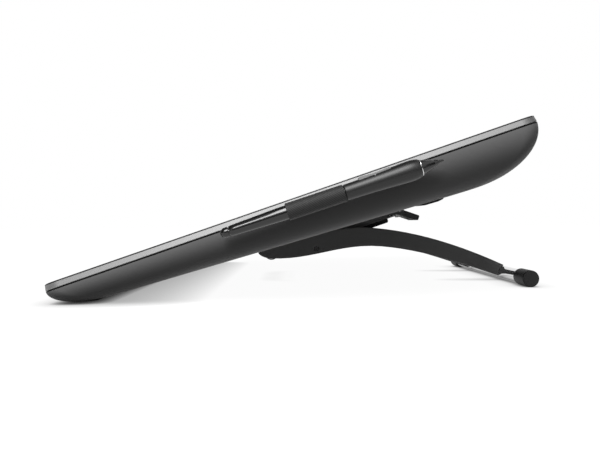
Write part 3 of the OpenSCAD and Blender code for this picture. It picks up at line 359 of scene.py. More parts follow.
# The body's own sizes are in millimetres, and body_frame takes them to the scene's metres.
BODY_TILT = math.radians(18.8)
BODY_SEAT = (0, -0.0210417, 0.0135908)
body_frame = (Matrix.Translation(BODY_SEAT) @ Matrix.Rotation(BODY_TILT, 4, "X")
              @ Matrix.Scale(0.001, 4))
BODY_WIDTH, BODY_DEPTH, FRONT_THICK, BACK_THICK = 570.0, 367.4, 21.1, 39.0
WEDGE = math.atan((BACK_THICK - FRONT_THICK) / BODY_DEPTH)


def floor_depth(u):
    """Depth of the flat underside below the glass, u millimetres behind the front rim."""
    return FRONT_THICK + (BACK_THICK - FRONT_THICK) * u / BODY_DEPTH


def shape_tree(name, sizes):
    """A Geometry Nodes tree with a named input for each size, and the wires of these inputs."""
    tree = bpy.data.node_groups.new(name, "GeometryNodeTree")
    tree.interface.new_socket("Shape", in_out="OUTPUT", socket_type="NodeSocketGeometry")
    for label, value in sizes.items():
        kind = "NodeSocketInt" if isinstance(value, int) else "NodeSocketFloat"
        tree.interface.new_socket(label, in_out="INPUT", socket_type=kind)
    tree.interface.new_socket("Finish", in_out="INPUT", socket_type="NodeSocketMaterial")
    entry = tree.nodes.new("NodeGroupInput")
    return tree, {label: Wire(tree, entry.outputs[label]) for label in [*sizes, "Finish"]}


def close_tree(shape, size):
    """Ends a tree in Realize Instances and Set Material."""
    done = shape.node("GeometryNodeRealizeInstances", values={"Geometry": shape})
    done = done.node("GeometryNodeSetMaterial", values={
        "Geometry": done, "Material": size["Finish"]})
    done.node("NodeGroupOutput", values={"Shape": done})


def place_piece(name, mesh, body, slot, *replaced):
    """Puts a finished mesh in the scene as one piece of the object."""
    piece = bpy.data.objects.new(name, mesh)
    bpy.context.collection.objects.link(piece)
    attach(piece, body)
    if replaced:
        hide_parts(*replaced)
    return piece


CREASE = 30


def grown_mesh(name, tree, sizes, finish, place):
    """Runs a tree once with its sizes and keeps the plain mesh that it gives."""
    seed = bpy.data.objects.new(name + "_seed", bpy.data.meshes.new(name + "_seed"))
    bpy.context.collection.objects.link(seed)
    rule = seed.modifiers.new("shape", "NODES")
    rule.node_group = tree
    for item in tree.interface.items_tree:
        if item.in_out == "INPUT":
            rule[item.identifier] = finish if item.name == "Finish" else sizes[item.name]
    bpy.context.view_layer.update()
    grown = seed.evaluated_get(bpy.context.evaluated_depsgraph_get())
    mesh = bpy.data.meshes.new_from_object(grown)
    mesh.name = name
    seed.modifiers.remove(rule)
    bpy.data.objects.remove(seed)
    mesh.transform(place)
    mesh.shade_smooth()
    mesh.set_sharp_from_angle(angle=math.radians(CREASE))
    return mesh


def moved(shape, by=(0, 0, 0), turn=(0, 0, 0)):
    """A shape turned about its own origin and then shifted."""
    return shape.node("GeometryNodeTransform", values={
        "Geometry": shape, "Translation": by, "Rotation": turn})


def block(start, low, high):
    """A box between two corners."""
    size = tuple(b - a for a, b in zip(low, high))
    made = start.node("GeometryNodeMeshCube", values={"Size": size})
    return moved(made, tuple((a + b) / 2 for a, b in zip(low, high)))


def peg(start, radius, low, high, at=(0, 0), sides=48):
    """A round peg along z."""
    made = start.node("GeometryNodeMeshCylinder", values={
        "Vertices": sides, "Radius": radius, "Depth": high - low})
    return moved(made, (*at, (low + high) / 2))


def joined(shapes):
    """Several shapes held as one."""
    return shapes[0].node("GeometryNodeJoinGeometry", values={"Geometry": shapes})


def cut(shape, *cutters):
    """A shape with others cut away from it."""
    return shape.node("GeometryNodeMeshBoolean", {"operation": "DIFFERENCE", "solver": "MANIFOLD"},
                      {"Mesh 1": shape, "Mesh 2": list(cutters)})


def combined(operation, shapes):
    """The union of closed shapes, or what they share."""
    return shapes[0].node("GeometryNodeMeshBoolean", {"operation": operation, "solver": "MANIFOLD"},
                          {"Mesh 2": shapes})


CORNER_STEPS, SIDE_STEPS, WALL_STEPS, FLOOR_STEPS = 18, 14, 36, 8
cover_sizes = {
    "Half width": BODY_WIDTH / 2, "Depth": BODY_DEPTH, "Rim depth": 5.2,
    "Front thickness": FRONT_THICK, "Back thickness": BACK_THICK, "Nose run": 34.5,
    "Tail run": 49.5, "Corner radius": 14.0, "Corner growth": 11.0, "Side roll": 1.3, "Wall": 2.2,
}
tree, size = shape_tree("rear_cover_loft", cover_sizes)
wall_rows = WALL_STEPS + FLOOR_STEPS + 1
around, down = 4 * (CORNER_STEPS + SIDE_STEPS), 2 * wall_rows - 1
start = size["Wall"]
net = start.node("GeometryNodeMeshGrid", values={
    "Size X": float(around), "Size Y": float(down),
    "Vertices X": around + 1, "Vertices Y": down + 1})
spot = start.node("GeometryNodeInputPosition").split()
column = (spot + around / 2).math("ROUND")
line = (spot.out("Y") + down / 2).math("ROUND")
# Lines run from the middle of the lining, over the rim, to the middle of the outside.
outside = line > wall_rows - 0.5
inset = (1 - outside) * size["Wall"]
line = outside * (line - wall_rows) + (1 - outside) * (wall_rows - 1 - line)
step = (line / WALL_STEPS).math("MINIMUM", 1.0) * (math.pi / 2)
shrink = ((line - WALL_STEPS) / FLOOR_STEPS).math("MAXIMUM", 0.0)
lost = 1 - step.math("COSINE")
# Columns run round the rim: each quarter is a corner and then a straight side.
quarter = (column / (CORNER_STEPS + SIDE_STEPS)).math("FLOOR").math("MINIMUM", 3.0)
along = column - quarter * (CORNER_STEPS + SIDE_STEPS)
turn = (quarter + (along / CORNER_STEPS).math("MINIMUM", 1.0)) * (math.pi / 2)
stage_at = quarter + ((along - CORNER_STEPS) / SIDE_STEPS).math("MAXIMUM", 0.0)
to_left = (1 - stage_at * 2).math("MAXIMUM", -1.0).math("MINIMUM", 1.0)
to_right = (stage_at - 2).math("MAXIMUM", 0.0).math("MINIMUM", 1.0) * 2
to_front = (stage_at - 1).math("MAXIMUM", 0.0).math("MINIMUM", 1.0)
to_back = (stage_at - 3).math("MAXIMUM", 0.0)
radius = size["Corner radius"] - inset + size["Corner growth"] * lost
front = inset + size["Nose run"] * lost + radius
back = size["Depth"] - inset - size["Tail run"] * lost - radius
x = (size["Half width"] - inset - radius) * (to_left + to_right) + radius * turn.math("COSINE")
u = front + (back - front) * (1 - to_front + to_back) + radius * turn.math("SINE")
# The floor closes towards its middle.
u = u + (size["Depth"] / 2 - u) * shrink
slope = (size["Back thickness"] - size["Front thickness"]) / size["Depth"]
deep = size["Front thickness"] + slope * u - inset - size["Rim depth"]
pull = 1 - size["Side roll"] * deep * lost / size["Half width"]
skin = start.node("ShaderNodeCombineXYZ", values={
    0: x * pull * (1 - shrink), 1: u, 2: 0 - (size["Rim depth"] + deep * step.math("SINE"))})
shell = start.node("GeometryNodeSetPosition", values={"Geometry": net, "Position": skin})
shell = start.node("GeometryNodeFlipFaces", values={"Mesh": shell})
shell = start.node("GeometryNodeMergeByDistance", values={"Geometry": shell, "Distance": 0.001})

HINGE_U, HINGE_DROP = 149.4, 8.3
hinge_depth = floor_depth(HINGE_U) + HINGE_DROP
STAND_LENGTH, STAND_SHIFT, STAND_PITCH = 122.0, 2.0, 100.0
stand_mid = HINGE_U + STAND_LENGTH / 2 + STAND_SHIFT
CASE_SCREW_X, CASE_SCREW_US = 214.0, (70.0, 299.4)
case_screws_at = [(side * CASE_SCREW_X, u) for side in (-1, 1) for u in CASE_SCREW_US]
stand_screws_at = [(x * STAND_PITCH / 2, stand_mid + u * STAND_PITCH / 2)
                   for x in (-1, 1) for u in (-1, 1)]


def across(start, radius, from_x, to_x):
    """A round bar across the body at the hinge."""
    made = start.node("GeometryNodeMeshCylinder", values={
        "Vertices": 96, "Radius": radius, "Depth": to_x - from_x})
    return moved(made, ((from_x + to_x) / 2, HINGE_U, -hinge_depth), (0, math.pi / 2, 0))


# Posts and the lining of the scoops stand on the floor, so they stop short of its outside.
SCOOP, ARMS = 12.95, ((59.0, 74.0), (-74.0, -59.0))
COVER_WALL, BELOW_ALL = cover_sizes["Wall"], -45
CASE_POST, CASE_POST_TOP, STAND_POST, STAND_POST_RISE = 4.5, -10.6, 7.0, 10
ROOM, ROOM_MID = (600, 420, 40), 180
cups = [across(start, SCOOP + COVER_WALL, left - COVER_WALL, right + COVER_WALL)
        for left, right in ARMS]
posts = [peg(start, CASE_POST, BELOW_ALL, CASE_POST_TOP, at) for at in case_screws_at]
posts += [peg(start, STAND_POST, BELOW_ALL, STAND_POST_RISE - floor_depth(at[1]), at)
          for at in stand_screws_at]
inside = start.node("GeometryNodeMeshCube", values={"Size": ROOM})
rise = ROOM[2] / 2
above_floor = COVER_WALL / 2 - floor_depth(ROOM_MID)
inside = moved(inside, (0, ROOM_MID + rise * math.sin(WEDGE), above_floor + rise * math.cos(WEDGE)),
               (-WEDGE, 0, 0))
posts = combined("INTERSECT", [joined(cups + posts), inside])
shell = combined("UNION", [shell, posts])

# The openings: scoops for the arms, screw holes, the port bay, the vent, the loop's notch, the button.
CASE_BORE, CASE_SINK, SINK_DEPTH, STAND_BORE, STAND_BORE_DEPTH = 1.63, 3.3, 3, 2.0, 8
BAY_MID, BAY_U, BAY_W, BAY_D = 140.0, 285.4, 92.0, 44.0
VENT_MID, VENT_U, VENT_W, VENT_D = -151.0, 294.4, 90.0, 30.0
FIT, HOLE_TOP, NOTCH = 0.03, -12, ((273, 179.5, -9.69), (293, 221.3, -5))
BUTTON_X, BUTTON_DEPTH, BUTTON_HALF, BUTTON_RISE, BUTTON_END = 225.0, 10.9, 4.53, 2.8, 2.78
LAMP_X, LAMP_BORE, THROUGH = 238.0, 1.03, 20


def floor_hole(mid, u, width, length):
    """A cutter for a rectangular opening in the floor, with the fit of its piece all round."""
    half_w, half_d = width / 2 + FIT, length / 2 + FIT
    return block(start, (mid - half_w, u - half_d, BELOW_ALL), (mid + half_w, u + half_d, HOLE_TOP))


def back_bore(radius, x, sides=48):
    """A cutter for a bore through the back wall, at the button's height."""
    return moved(peg(start, radius, -THROUGH, THROUGH, sides=sides), (x, BODY_DEPTH, -BUTTON_DEPTH),
                 (math.pi / 2, 0, 0))


scoops = joined([across(start, SCOOP, *arm) for arm in ARMS])
bores = joined([peg(start, CASE_BORE, BELOW_ALL, 0, at, 24) for at in case_screws_at])
sinks = joined([peg(start, CASE_SINK, BELOW_ALL, SINK_DEPTH - floor_depth(at[1]), at)
                for at in case_screws_at])
stand_bores = joined([peg(start, STAND_BORE, BELOW_ALL, STAND_BORE_DEPTH - floor_depth(at[1]), at, 24)
                      for at in stand_screws_at])
bay = floor_hole(BAY_MID, BAY_U, BAY_W, BAY_D)
vent = floor_hole(VENT_MID, VENT_U, VENT_W, VENT_D)
notch = block(start, *NOTCH)
slot = block(start, (BUTTON_X - BUTTON_HALF, BODY_DEPTH - THROUGH, -BUTTON_DEPTH - BUTTON_RISE),
             (BUTTON_X + BUTTON_HALF, BODY_DEPTH + THROUGH, BUTTON_RISE - BUTTON_DEPTH))
ends = [back_bore(BUTTON_END, BUTTON_X + side * BUTTON_HALF) for side in (-1, 1)]
lamp_hole = back_bore(LAMP_BORE, LAMP_X, 24)
shell = cut(shell, scoops, bores, sinks, stand_bores, bay, vent, notch, slot, *ends, lamp_hole)
close_tree(shell, size)


def in_body(place):
    """Places on the display body: across, along the screen, and out of the glass."""
    back = place.node("ShaderNodeVectorMath", {"operation": "SUBTRACT"}, {0: place, 1: BODY_SEAT})
    return place.node("ShaderNodeMapping", values={"Vector": back, "Rotation": (-BODY_TILT, 0, 0)})


# The wall's top 0.7 mm, just under the band, is painted near black: a painted line of shade along the
# joint.
PAINTED_SHADE_DEPTH = 0.0059
housing, place = new_finish("housing_plastic")
pits = noise(place, 2300.0, 2.0)
drift = noise(place, 9.0, 3.0)
painted_joint_shade = in_body(place).split().out("Z") > -PAINTED_SHADE_DEPTH
close_finish(place, {
    "Base Color": painted_joint_shade.tint((drift * 0.6 + pits * 0.4).tint(grey(106), grey(118)), grey(12)),
    "Roughness": drift * 0.06 + pits * 0.08 + 0.44,
    "Specular IOR Level": 0.09,
    "Normal": relief(place, pits, 0.5, 0.00003),
})
cover_mesh = grown_mesh("rear_cover_moulding", tree, cover_sizes, housing, body_frame)
place_piece("rear_cover_moulding", cover_mesh, "display", "housing", "rear_cover")


# Port bay and vent
# The bay is a separate bucket set into the cover's floor, in the same plastic as the cover.
# The vent is a black plate with a row of round-ended slots, their edges broken by a small chamfer.
def eased(name, node, finish, body, slot, edge=0.0003, crease=CREASE):
    """A CAD node's shape as it leaves the tool: triangles merged and its sharp edges rounded."""
    work = bmesh.new()
    work.from_mesh(nodes[node].data)
    bmesh.ops.remove_doubles(work, verts=work.verts, dist=1e-6)
    bmesh.ops.dissolve_limit(work, angle_limit=math.radians(0.3), verts=work.verts, edges=work.edges)
    mesh = bpy.data.meshes.new(name)
    work.to_mesh(mesh)
    work.free()
    mesh.materials.append(finish)
    mesh.shade_smooth()
    mesh.set_sharp_from_angle(angle=math.radians(crease))
    blank = bpy.data.objects.new(name + "_blank", mesh)
    bpy.context.collection.objects.link(blank)
    ease = blank.modifiers.new("edges", "BEVEL")
    ease.width, ease.segments, ease.limit_method = edge, 2, "ANGLE"
    ease.angle_limit, ease.harden_normals = math.radians(crease), True
    bpy.context.view_layer.update()
    made = blank.evaluated_get(bpy.context.evaluated_depsgraph_get())
    made = bpy.data.meshes.new_from_object(made)
    made.name = name
    bpy.data.objects.remove(blank)
    place_piece(name, made, body, slot, node)


eased("port_bay_bucket", "port_bay", housing, "display", "housing", 0.0004)

VENT_T = 2.2
CHAMFER_GROWTH, CHAMFER_DEPTH, CLEAR_BELOW, CLEAR_ABOVE = 0.7, 0.45, -1.0, 4.0
vent_sizes = {"Slots": 14, "Pitch": 6.0, "Slot width": 3.0, "Slot length": 24.0}
tree, size = shape_tree("vent_plate", vent_sizes)


def slots(size, grow, low, high):
    """Cutters for a row of round-ended slots, wider and longer than their size by grow."""
    start = size["Pitch"]
    row = start.node("GeometryNodeMeshLine", values={
        "Count": size["Slots"], "Offset": start.node("ShaderNodeCombineXYZ", values={0: start})})
    first = size["Pitch"] * (1 - size["Slots"]) / 2
    row = moved(row, start.node("ShaderNodeCombineXYZ", values={0: first, 2: (low + high) / 2}))
    outline = start.node("GeometryNodeCurvePrimitiveQuadrilateral", values={
        "Width": size["Slot width"] + grow, "Height": size["Slot length"] + grow})
    outline = start.node("GeometryNodeFilletCurve", {"mode": "POLY"}, {
        "Curve": outline, "Radius": (size["Slot width"] + grow) * 0.495, "Count": 6})
    face = start.node("GeometryNodeFillCurve", values={"Curve": outline})
    one = start.node("GeometryNodeExtrudeMesh", values={
        "Mesh": face, "Offset Scale": high - low, "Individual": False})
    lid = start.node("GeometryNodeFlipFaces", values={"Mesh": face})
    one = joined([one, lid])
    one = start.node("GeometryNodeMergeByDistance", values={"Geometry": one, "Distance": 0.001})
    one = moved(one, (0, 0, (low - high) / 2))
    row = start.node("GeometryNodeInstanceOnPoints", values={"Points": row, "Instance": one})
    return start.node("GeometryNodeRealizeInstances", values={"Geometry": row})


start = size["Pitch"]
plate = block(start, (-VENT_W / 2, -VENT_D / 2, 0), (VENT_W / 2, VENT_D / 2, VENT_T))
plate = cut(plate, slots(size, 0.0, CLEAR_BELOW, CLEAR_ABOVE),
            slots(size, CHAMFER_GROWTH, CLEAR_BELOW, CHAMFER_DEPTH))
close_tree(plate, size)
vent_place = (body_frame @ Matrix.Translation((VENT_MID, VENT_U, -floor_depth(VENT_U)))
              @ Matrix.Rotation(-WEDGE, 4, "X"))
vent_mesh = grown_mesh("vent_slot_plate", tree, vent_sizes, black_plastic, vent_place)
place_piece("vent_slot_plate", vent_mesh, "display", "black_plastic", "vent_grille")


# Case screws and feet
# Four socket-head screws, sunk in counterbores, pull the cover up to the stiffening plate.
# The front foot is a rubber strip round the nose; two rubber pads stand near the rear corners.
HEAD_BREAK, KEY_LEAD = 0.35, 0.4


def screw_tree(name, sizes):
    """A socket-head screw with a broken head edge, set at four places on the sloping floor."""
    tree, size = shape_tree(name, sizes)
    start = size["Head radius"]
    head = start.node("GeometryNodeMeshCylinder", values={
        "Vertices": 40, "Radius": size["Head radius"], "Depth": size["Head height"]})
    head = moved(head, start.node("ShaderNodeCombineXYZ", values={2: size["Head height"] / 2}))
    brim = start.node("GeometryNodeMeshCone", values={
        "Vertices": 40, "Radius Top": size["Head radius"], "Depth": HEAD_BREAK,
        "Radius Bottom": size["Head radius"] - HEAD_BREAK})
    head = moved(head, (0, 0, HEAD_BREAK))
    shank = start.node("GeometryNodeMeshCylinder", values={
        "Vertices": 24, "Radius": size["Shank radius"], "Depth": size["Shank length"]})
    shank = moved(shank, start.node("ShaderNodeCombineXYZ", values={
        2: size["Shank length"] / 2 + size["Head height"]}))
    key = start.node("GeometryNodeMeshCylinder", values={
        "Vertices": 6, "Radius": size["Key radius"], "Depth": size["Key depth"] * 2})
    lead = start.node("GeometryNodeMeshCone", values={
        "Vertices": 40, "Radius Top": size["Key radius"] * 0.8, "Depth": 2 * KEY_LEAD,
        "Radius Bottom": size["Key radius"] + KEY_LEAD})
    lead = moved(lead, (0, 0, -KEY_LEAD))
    whole = cut(combined("UNION", [head, brim, shank]), key, lead)
    grid = start.node("GeometryNodeMeshGrid", values={
        "Size X": size["Across"], "Size Y": size["Along"], "Vertices X": 2, "Vertices Y": 2})
    rise = start.node("GeometryNodeInputPosition").split().out("Y") * -math.tan(WEDGE)
    grid = start.node("GeometryNodeSetPosition", values={
        "Geometry": grid, "Offset": start.node("ShaderNodeCombineXYZ", values={2: rise})})
    close_tree(start.node("GeometryNodeInstanceOnPoints", values={
        "Points": grid, "Instance": whole}), size)
    return tree


case_screw_sizes = {
    "Head radius": 3.0, "Head height": 1.42, "Key radius": 1.3, "Key depth": 1.0,
    "Shank radius": 1.6, "Shank length": 17.0, "Across": 2 * CASE_SCREW_X,
    "Along": CASE_SCREW_US[1] - CASE_SCREW_US[0],
}
screw_rule = screw_tree("case_screw_set", case_screw_sizes)
CASE_HEAD, case_mid = 1.8, sum(CASE_SCREW_US) / 2
screw_place = body_frame @ Matrix.Translation(
    (0, case_mid, SINK_DEPTH - CASE_HEAD - floor_depth(case_mid)))
screw_mesh = grown_mesh("case_screw_set", screw_rule, case_screw_sizes, plated_steel, screw_place)
place_piece("case_screw_set", screw_mesh, "display", "steel", "case_screws")

rubber, place = new_finish("foot_rubber")
dust = noise(place, 90.0, 4.0)
skin = noise(place, 3200.0, 2.0)
close_finish(place, {
    "Base Color": dust.tint(grey(32), grey(44)),
    "Roughness": dust * 0.15 + 0.62, "Specular IOR Level": 0.22,
    "Normal": relief(place, skin, 0.5, 0.00004)})
eased("front_foot_strip", "front_foot", rubber, "display", "rubber", 0.0002, 40)
eased("rear_foot_pads", "rear_feet", rubber, "display", "rubber", 0.0005, 40)


# Power button and lamp
# A round-ended push button in the cover's back wall, on a small switch board, with a lamp beside it.
# The lamp is a clear acrylic pin whose end lies flush in the wall.
satin_plastic = moulded("satin_button_plastic", 58, 0.36, 0.45, 3600.0, 0.00002)
eased("power_button_key", "power_button", satin_plastic, "button", "black_plastic", 0.0004)
dress(circuit_board, "button_switch")
dress(clear_acrylic, "power_led")


# Side band and cover glass
# The band is an extruded aluminium frame, satin anodised, and coloured dark along its top millimetre,
# where it meets the glass.
# The glass is one etched sheet with a black printed border, bonded over the band's ledge.
SCREEN_HALF_W, SCREEN_HALF_D, GLASS_MID_U, BLACK_EDGE = 0.238, 0.134, 0.1837, 0.001

anodised, place = new_finish("satin_anodised_band")
run = in_body(place)
lines = noise(run, 500.0, 3.0, (1.5, 1.5, 26))
cloud = noise(place, 12.0)
edge = run.split().out("Z") > -BLACK_EDGE
close_finish(place, {
    "Base Color": edge.tint(lines.tint(grey(138), grey(152)), grey(30)),
    "Metallic": 0.8 - edge * 0.6,
    "Roughness": lines * 0.1 + cloud * 0.06 + 0.42,
    "Normal": relief(place, lines, 0.15, 0.00003)})
eased("side_band_extrusion", "front_frame", anodised, "display", "side_band", 0.00025)

etched_glass, place = new_finish("etched_cover_glass")
spot = in_body(place).split()
beside = spot.math("ABSOLUTE") < SCREEN_HALF_W
ahead = (spot.out("Y") - GLASS_MID_U).math("ABSOLUTE") < SCREEN_HALF_D
picture = beside * ahead
etch = noise(place, 4200.0, 1.0)
close_finish(place, {
    "Base Color": picture.tint(grey(13), grey(27, 0.94, 1.08)),
    "Roughness": 0.16 + picture * 0.04 + etch * 0.05,
    "Specular IOR Level": 0.5,
    "Normal": relief(place, etch, 0.12, 0.00001)})
eased("etched_cover_glass", "cover_glass", etched_glass, "display", "cover_glass", 0.00025)


# Pen loop
# A length of black twill webbing, folded in half round the middle of the pen.
# Its two ends lie together in a notch in the cover's side, gripped by a moulded clip.
LOOP_FROM, LOOP_LENGTH, CLOTH, LOOP_MID = 47.8, 41.2, 0.8, 5.72
STRAP_ROOT, STRAP_TURN, STRAP_HALF, WRAP_FROM = -21.2, -9.3, 0.41, math.radians(35)
PEN_TAIL, PEN_LEAN = (294.2, 132.0, -7.5), math.radians(-0.7)
pen_frame = (body_frame @ Matrix.Translation(PEN_TAIL) @ Matrix.Rotation(PEN_LEAN, 4, "X")
             @ Matrix.Rotation(math.radians(-90), 4, "X"))


def bezier(a, b, c, d, share):
    """Points of a cubic curve at some shares of its way."""
    share = np.asarray(share)[:, None]
    a, b, c, d = (np.asarray(p, float) for p in (a, b, c, d))
    left = 1 - share
    return left**3 * a + 3 * left**2 * share * b + 3 * left * share**2 * c + share**3 * d


# The path of the webbing, seen along the pen: in by the upper half, round, and out by the lower.
TURN_PULL, ROOT_STEPS, TURN_STEPS, WRAP_STEPS, BREADTH_STEPS = 2.2, 7, 15, 150, 152
wrap = np.linspace(WRAP_FROM, 2 * math.pi - WRAP_FROM, WRAP_STEPS)
circle = np.column_stack([-LOOP_MID * np.cos(wrap), -LOOP_MID * np.sin(wrap)])
wrap_start = np.array((math.sin(WRAP_FROM), -math.cos(WRAP_FROM)))
lead_in = bezier((STRAP_TURN, -STRAP_HALF), (STRAP_TURN + TURN_PULL, -STRAP_HALF),
                 circle[0] - TURN_PULL * wrap_start, circle[0],
                 np.linspace(0, 1, TURN_STEPS, endpoint=False))
root = np.column_stack([np.linspace(STRAP_ROOT, STRAP_TURN, ROOT_STEPS, endpoint=False),
                        np.full(ROOT_STEPS, -STRAP_HALF)])
half_in = np.vstack([root, lead_in])
path = np.vstack([half_in, circle, half_in[::-1] * (1, -1)])
runs = np.concatenate([[0], np.cumsum(np.linalg.norm(np.diff(path, axis=0), axis=1))])
heading = np.gradient(path, runs, axis=0)
heading /= np.linalg.norm(heading, axis=1)[:, None]
outward = np.column_stack([heading[:, 1], -heading[:, 0]])
middle = len(path) // 2
outward *= np.sign(outward[middle] @ path[middle])

RIB_PITCH, RIB_HEIGHT, RIB_SLOPE, RIB_REST, YARN_PITCH = 1.5, 0.2, 0.72, 0.6, 0.42
SELVAGE, EDGE_RUN, EDGE_DROP, FACE_DROP = 1.3, 0.5, 0.22, 0.08
breadth = np.linspace(0, LOOP_LENGTH, BREADTH_STEPS)
run_grid, across_grid = np.meshgrid(runs, breadth, indexing="ij")
ribs = np.abs(np.sin(math.pi * (run_grid * RIB_SLOPE - across_grid) / RIB_PITCH))
edge_in = np.minimum(across_grid, LOOP_LENGTH - across_grid)
hem = np.clip(edge_in / SELVAGE, 0, 1)
drop = EDGE_DROP * (1 - np.clip(edge_in / EDGE_RUN, 0, 1)) ** 2
height = RIB_HEIGHT * (ribs - RIB_REST) * hem - drop


def cloth_side(lift):
    """Points of one face of the webbing, lifted off its middle."""
    points = path[:, None, :] + outward[:, None, :] * lift[:, :, None]
    return np.concatenate([points, (LOOP_FROM + across_grid)[:, :, None]], axis=2).reshape(-1, 3)


count_u, count_v = run_grid.shape
half_thick = np.full_like(run_grid, CLOTH / 2)
points = np.vstack([cloth_side(half_thick + height - FACE_DROP), cloth_side(-half_thick)])
index = np.arange(count_u * count_v).reshape(count_u, count_v)
quads = np.stack([index[:-1, :-1], index[1:, :-1], index[1:, 1:], index[:-1, 1:]], axis=-1)
quads = quads.reshape(-1, 4)
under = quads[:, ::-1] + count_u * count_v
rim = np.concatenate([index[:, 0], index[-1, 1:], index[-2::-1, -1], index[0, -2:0:-1]])
after = np.roll(rim, -1)
sides = np.column_stack([rim, rim + count_u * count_v, after + count_u * count_v, after])
cloth = bpy.data.meshes.new("pen_loop_webbing")
cloth.from_pydata(points.tolist(), [], np.vstack([quads, under, sides]).tolist())
flat_place = np.column_stack([run_grid.ravel(), across_grid.ravel()]) * 0.001
corner = np.empty(len(cloth.loops), np.int64)
cloth.loops.foreach_get("vertex_index", corner)
layer = cloth.uv_layers.new(name="cut")
layer.data.foreach_set("uv", flat_place[corner % len(flat_place)].astype(np.float32).ravel())
cloth.transform(pen_frame)
work = bmesh.new()
work.from_mesh(cloth)
bmesh.ops.recalc_face_normals(work, faces=work.faces)
work.to_mesh(cloth)
work.free()
cloth.shade_smooth()
cloth.set_sharp_from_angle(angle=math.radians(60))

webbing, place = new_finish("twill_webbing")
flat = place.node("ShaderNodeUVMap", {"uv_map": "cut"}).split()
twill = (flat * RIB_SLOPE - flat.out("Y")) * (math.pi * 1000 / RIB_PITCH)
twill = twill.math("SINE").math("ABSOLUTE")
yarn = ((flat + flat.out("Y") * 0.5) * (2 * math.pi * 1000 / YARN_PITCH)).math("SINE") * 0.5 + 0.5
fuzz = noise(place, 2600.0, 3.0)
weave = twill * 0.6 + yarn * 0.25 + fuzz * 0.15
close_finish(place, {
    "Base Color": weave.tint(grey(4), grey(58)),
    "Roughness": 0.56 - yarn * 0.1, "Specular IOR Level": 0.26, "Sheen Weight": 0.03,
    "Sheen Roughness": 0.5, "Normal": relief(place, yarn * 0.6 + fuzz * 0.4, 0.6, 0.00006)})
cloth.materials.append(webbing)
loop = place_piece("pen_loop_webbing", cloth, "display", "webbing", "pen_loop")
dress(black_plastic, "loop_clip")


# Stand base
# A die-cast block screwed to the body's four threaded posts, black powder coated; the leg hinges in it.
# A moulded cover closes the lock's channel from below; the lever turns on a pin between two ears.
def powder_coat(name, level, rough, shine):
    """Baked powder coat: a fine orange peel with a satin sheen."""
    finish, place = new_finish(name)
    peel = noise(place, 900.0, 2.0)
    fine = noise(place, 4200.0, 1.0)
    drift = noise(place, 20.0, 2.0)
    close_finish(place, {
        "Base Color": (drift * 0.6 + fine * 0.4).tint(grey(level - 5), grey(level + 5)),
        "Roughness": drift * 0.08 + fine * 0.1 + (rough - 0.09),
        "Specular IOR Level": shine,
        "Normal": relief(place, peel * 0.6 + fine * 0.4, 0.4, 0.00004)})
    return finish


coated_metal = powder_coat("black_powder_coat", 114, 0.5, 0.5)
eased("stand_base_casting", "stand_base", coated_metal, "display", "black_metal", 0.0005)
eased("base_cover_moulding", "base_cover", black_plastic, "display", "black_plastic", 0.0004)
stand_screw_sizes = {
    "Head radius": 3.8, "Head height": 2.05, "Key radius": 1.5, "Key depth": 1.4,
    "Shank radius": 1.97, "Shank length": 11.0, "Across": STAND_PITCH, "Along": STAND_PITCH,
}
screw_rule = screw_tree("stand_screw_set", stand_screw_sizes)
STAND_PLATE, STAND_HEAD = 4.03, 2.4
screw_place = body_frame @ Matrix.Translation(
    (0, stand_mid, -floor_depth(stand_mid) - STAND_PLATE - STAND_HEAD))
screw_mesh = grown_mesh("stand_screw_set", screw_rule, stand_screw_sizes, plated_steel, screw_place)
place_piece("stand_screw_set", screw_mesh, "display", "steel", "base_screws")
dress(plated_steel, "lever_pin")


# Lock
# A drum on the hinge pin, gripped from behind by a steel shoe on a pull rod with a return spring.
# Turned and ground steel, lightly oiled; it lies in the base's channel behind the hinge.
turned_steel = sheet_metal("turned_steel", 188, 0.22, (20, 2, 2))
dress(turned_steel, "brake_drum", "brake_shoe", "pull_rod", "brake_spring")


# Release lever
# A moulded handle under the back of the base, with a bright folded steel crank behind it.
# Squeezing the handle turns both on the pin, and the crank draws the lock's rod back.
crank_metal = sheet_metal("crank_metal", 226, 0.42, (14, 1, 1))
lever_plastic = moulded("lever_plastic", 128, 0.5, 0.2)
eased("release_lever_handle", "release_lever", lever_plastic, "lever", "black_plastic", 0.0005)
eased("lever_crank_plate", "lever_crank", crank_metal, "lever", "bare_metal", 0.0003)


# Leg
# Two arched arms cast in aluminium and powder coated, joined by a bent plate that two screws hold.
# They turn together on the hinge pin, with a washer beside each, and two bumpers stop the leg folded.
for side in ("right", "left"):
    eased(side + "_arm_casting", "arm_" + side, coated_metal, "leg", "black_metal", 0.0007)
web_coat = powder_coat("web_plate_coat", 70, 0.62, 0.12)
eased("leg_web_plate", "leg_web", web_coat, "leg", "black_metal", 0.0005)
black_oxide = sheet_metal("black_oxide_steel", 62, 0.4, (6, 6, 6))
eased("web_screw_pair", "web_screws", black_oxide, "leg", "steel", 0.0002)
dress(turned_steel, "hinge_pin", "hinge_washers")
eased("stop_bumper_pair", "stop_bumpers", rubber, "leg", "rubber", 0.0005)


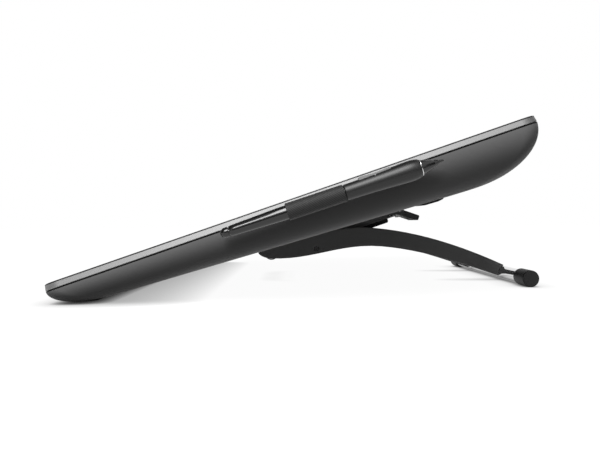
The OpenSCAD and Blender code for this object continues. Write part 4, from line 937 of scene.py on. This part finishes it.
# Foot bar and caps
# A chromed steel tube through the ends of both arms, with a moulded rubber cap pushed on each end.
# The caps carry the leg on the desk.
chrome, place = new_finish("chrome_plate")
wipes = noise(place, 240.0, 3.0, (1, 12, 12))
close_finish(place, {
    "Base Color": wipes.tint(grey(204), grey(216)), "Metallic": 1.0,
    "Roughness": wipes * 0.06 + 0.03, "Normal": relief(place, wipes, 0.03, 0.00002)})
eased("foot_bar_tube", "foot_bar", chrome, "leg", "chrome", 0.0003)

# The flat end of a cap is painted much paler than its wall, as painted light on the face turned towards
# the lamp, and it is also rougher.
CAP_END, CAP_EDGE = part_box("foot_cap_right")[1][0], 0.0003
cap_rubber, place = new_finish("cap_rubber")
dust = noise(place, 90.0, 4.0)
skin = noise(place, 3200.0, 2.0)
painted_lit_end = place.split().math("ABSOLUTE") > CAP_END - CAP_EDGE
close_finish(place, {
    "Base Color": painted_lit_end.tint(dust.tint(grey(8), grey(16)), dust.tint(grey(50), grey(60))),
    "Roughness": dust * 0.15 + painted_lit_end * 0.16 + 0.46, "Specular IOR Level": 0.22,
    "Normal": relief(place, skin, 0.5, 0.00004)})
for side in ("right", "left"):
    eased(side + "_foot_cap", "foot_cap_" + side, cap_rubber, "leg", "rubber", 0.0004, 40)


# Pen
# A moulded barrel with a soft grip drawn over it, a bright ring, a nose cone and a plastic nib.
# The side switch rocks in a window of the grip; the tail is an eraser that presses in.
pen_plastic = moulded("pen_barrel_plastic", 22, 0.2, 0.6, 5200.0, 0.000006)
grip_rubber = moulded("pen_grip_rubber", 22, 0.42, 0.48, 4200.0, 0.000015)
eased("pen_barrel_tube", "pen_barrel", pen_plastic, "pen", "pen_plastic", 0.00015, 35)
eased("pen_grip_sleeve", "pen_grip", grip_rubber, "pen", "pen_grip", 0.0002, 35)
eased("pen_bright_ring", "pen_ring", chrome, "pen", "chrome", 0.0001)
eased("pen_nose_cone", "pen_nose", pen_plastic, "pen", "pen_plastic", 0.0001, 35)
dress(circuit_board, "pen_core")
eased("pen_nib_point", "pen_nib", pen_plastic, "nib", "pen_plastic", 0.0001, 35)
# The switch's light grey colour is a painted highlight along its top edge.
switch_painted_highlight = moulded("pen_switch_painted_highlight", 150, 0.34, 0.5, 4200.0, 0.00001)
eased("pen_rocker_switch", "pen_switch", switch_painted_highlight, "side_switch", "black_plastic", 0.0003)
eased("pen_eraser_button", "pen_eraser", pen_plastic, "eraser", "pen_plastic", 0.0001, 35)
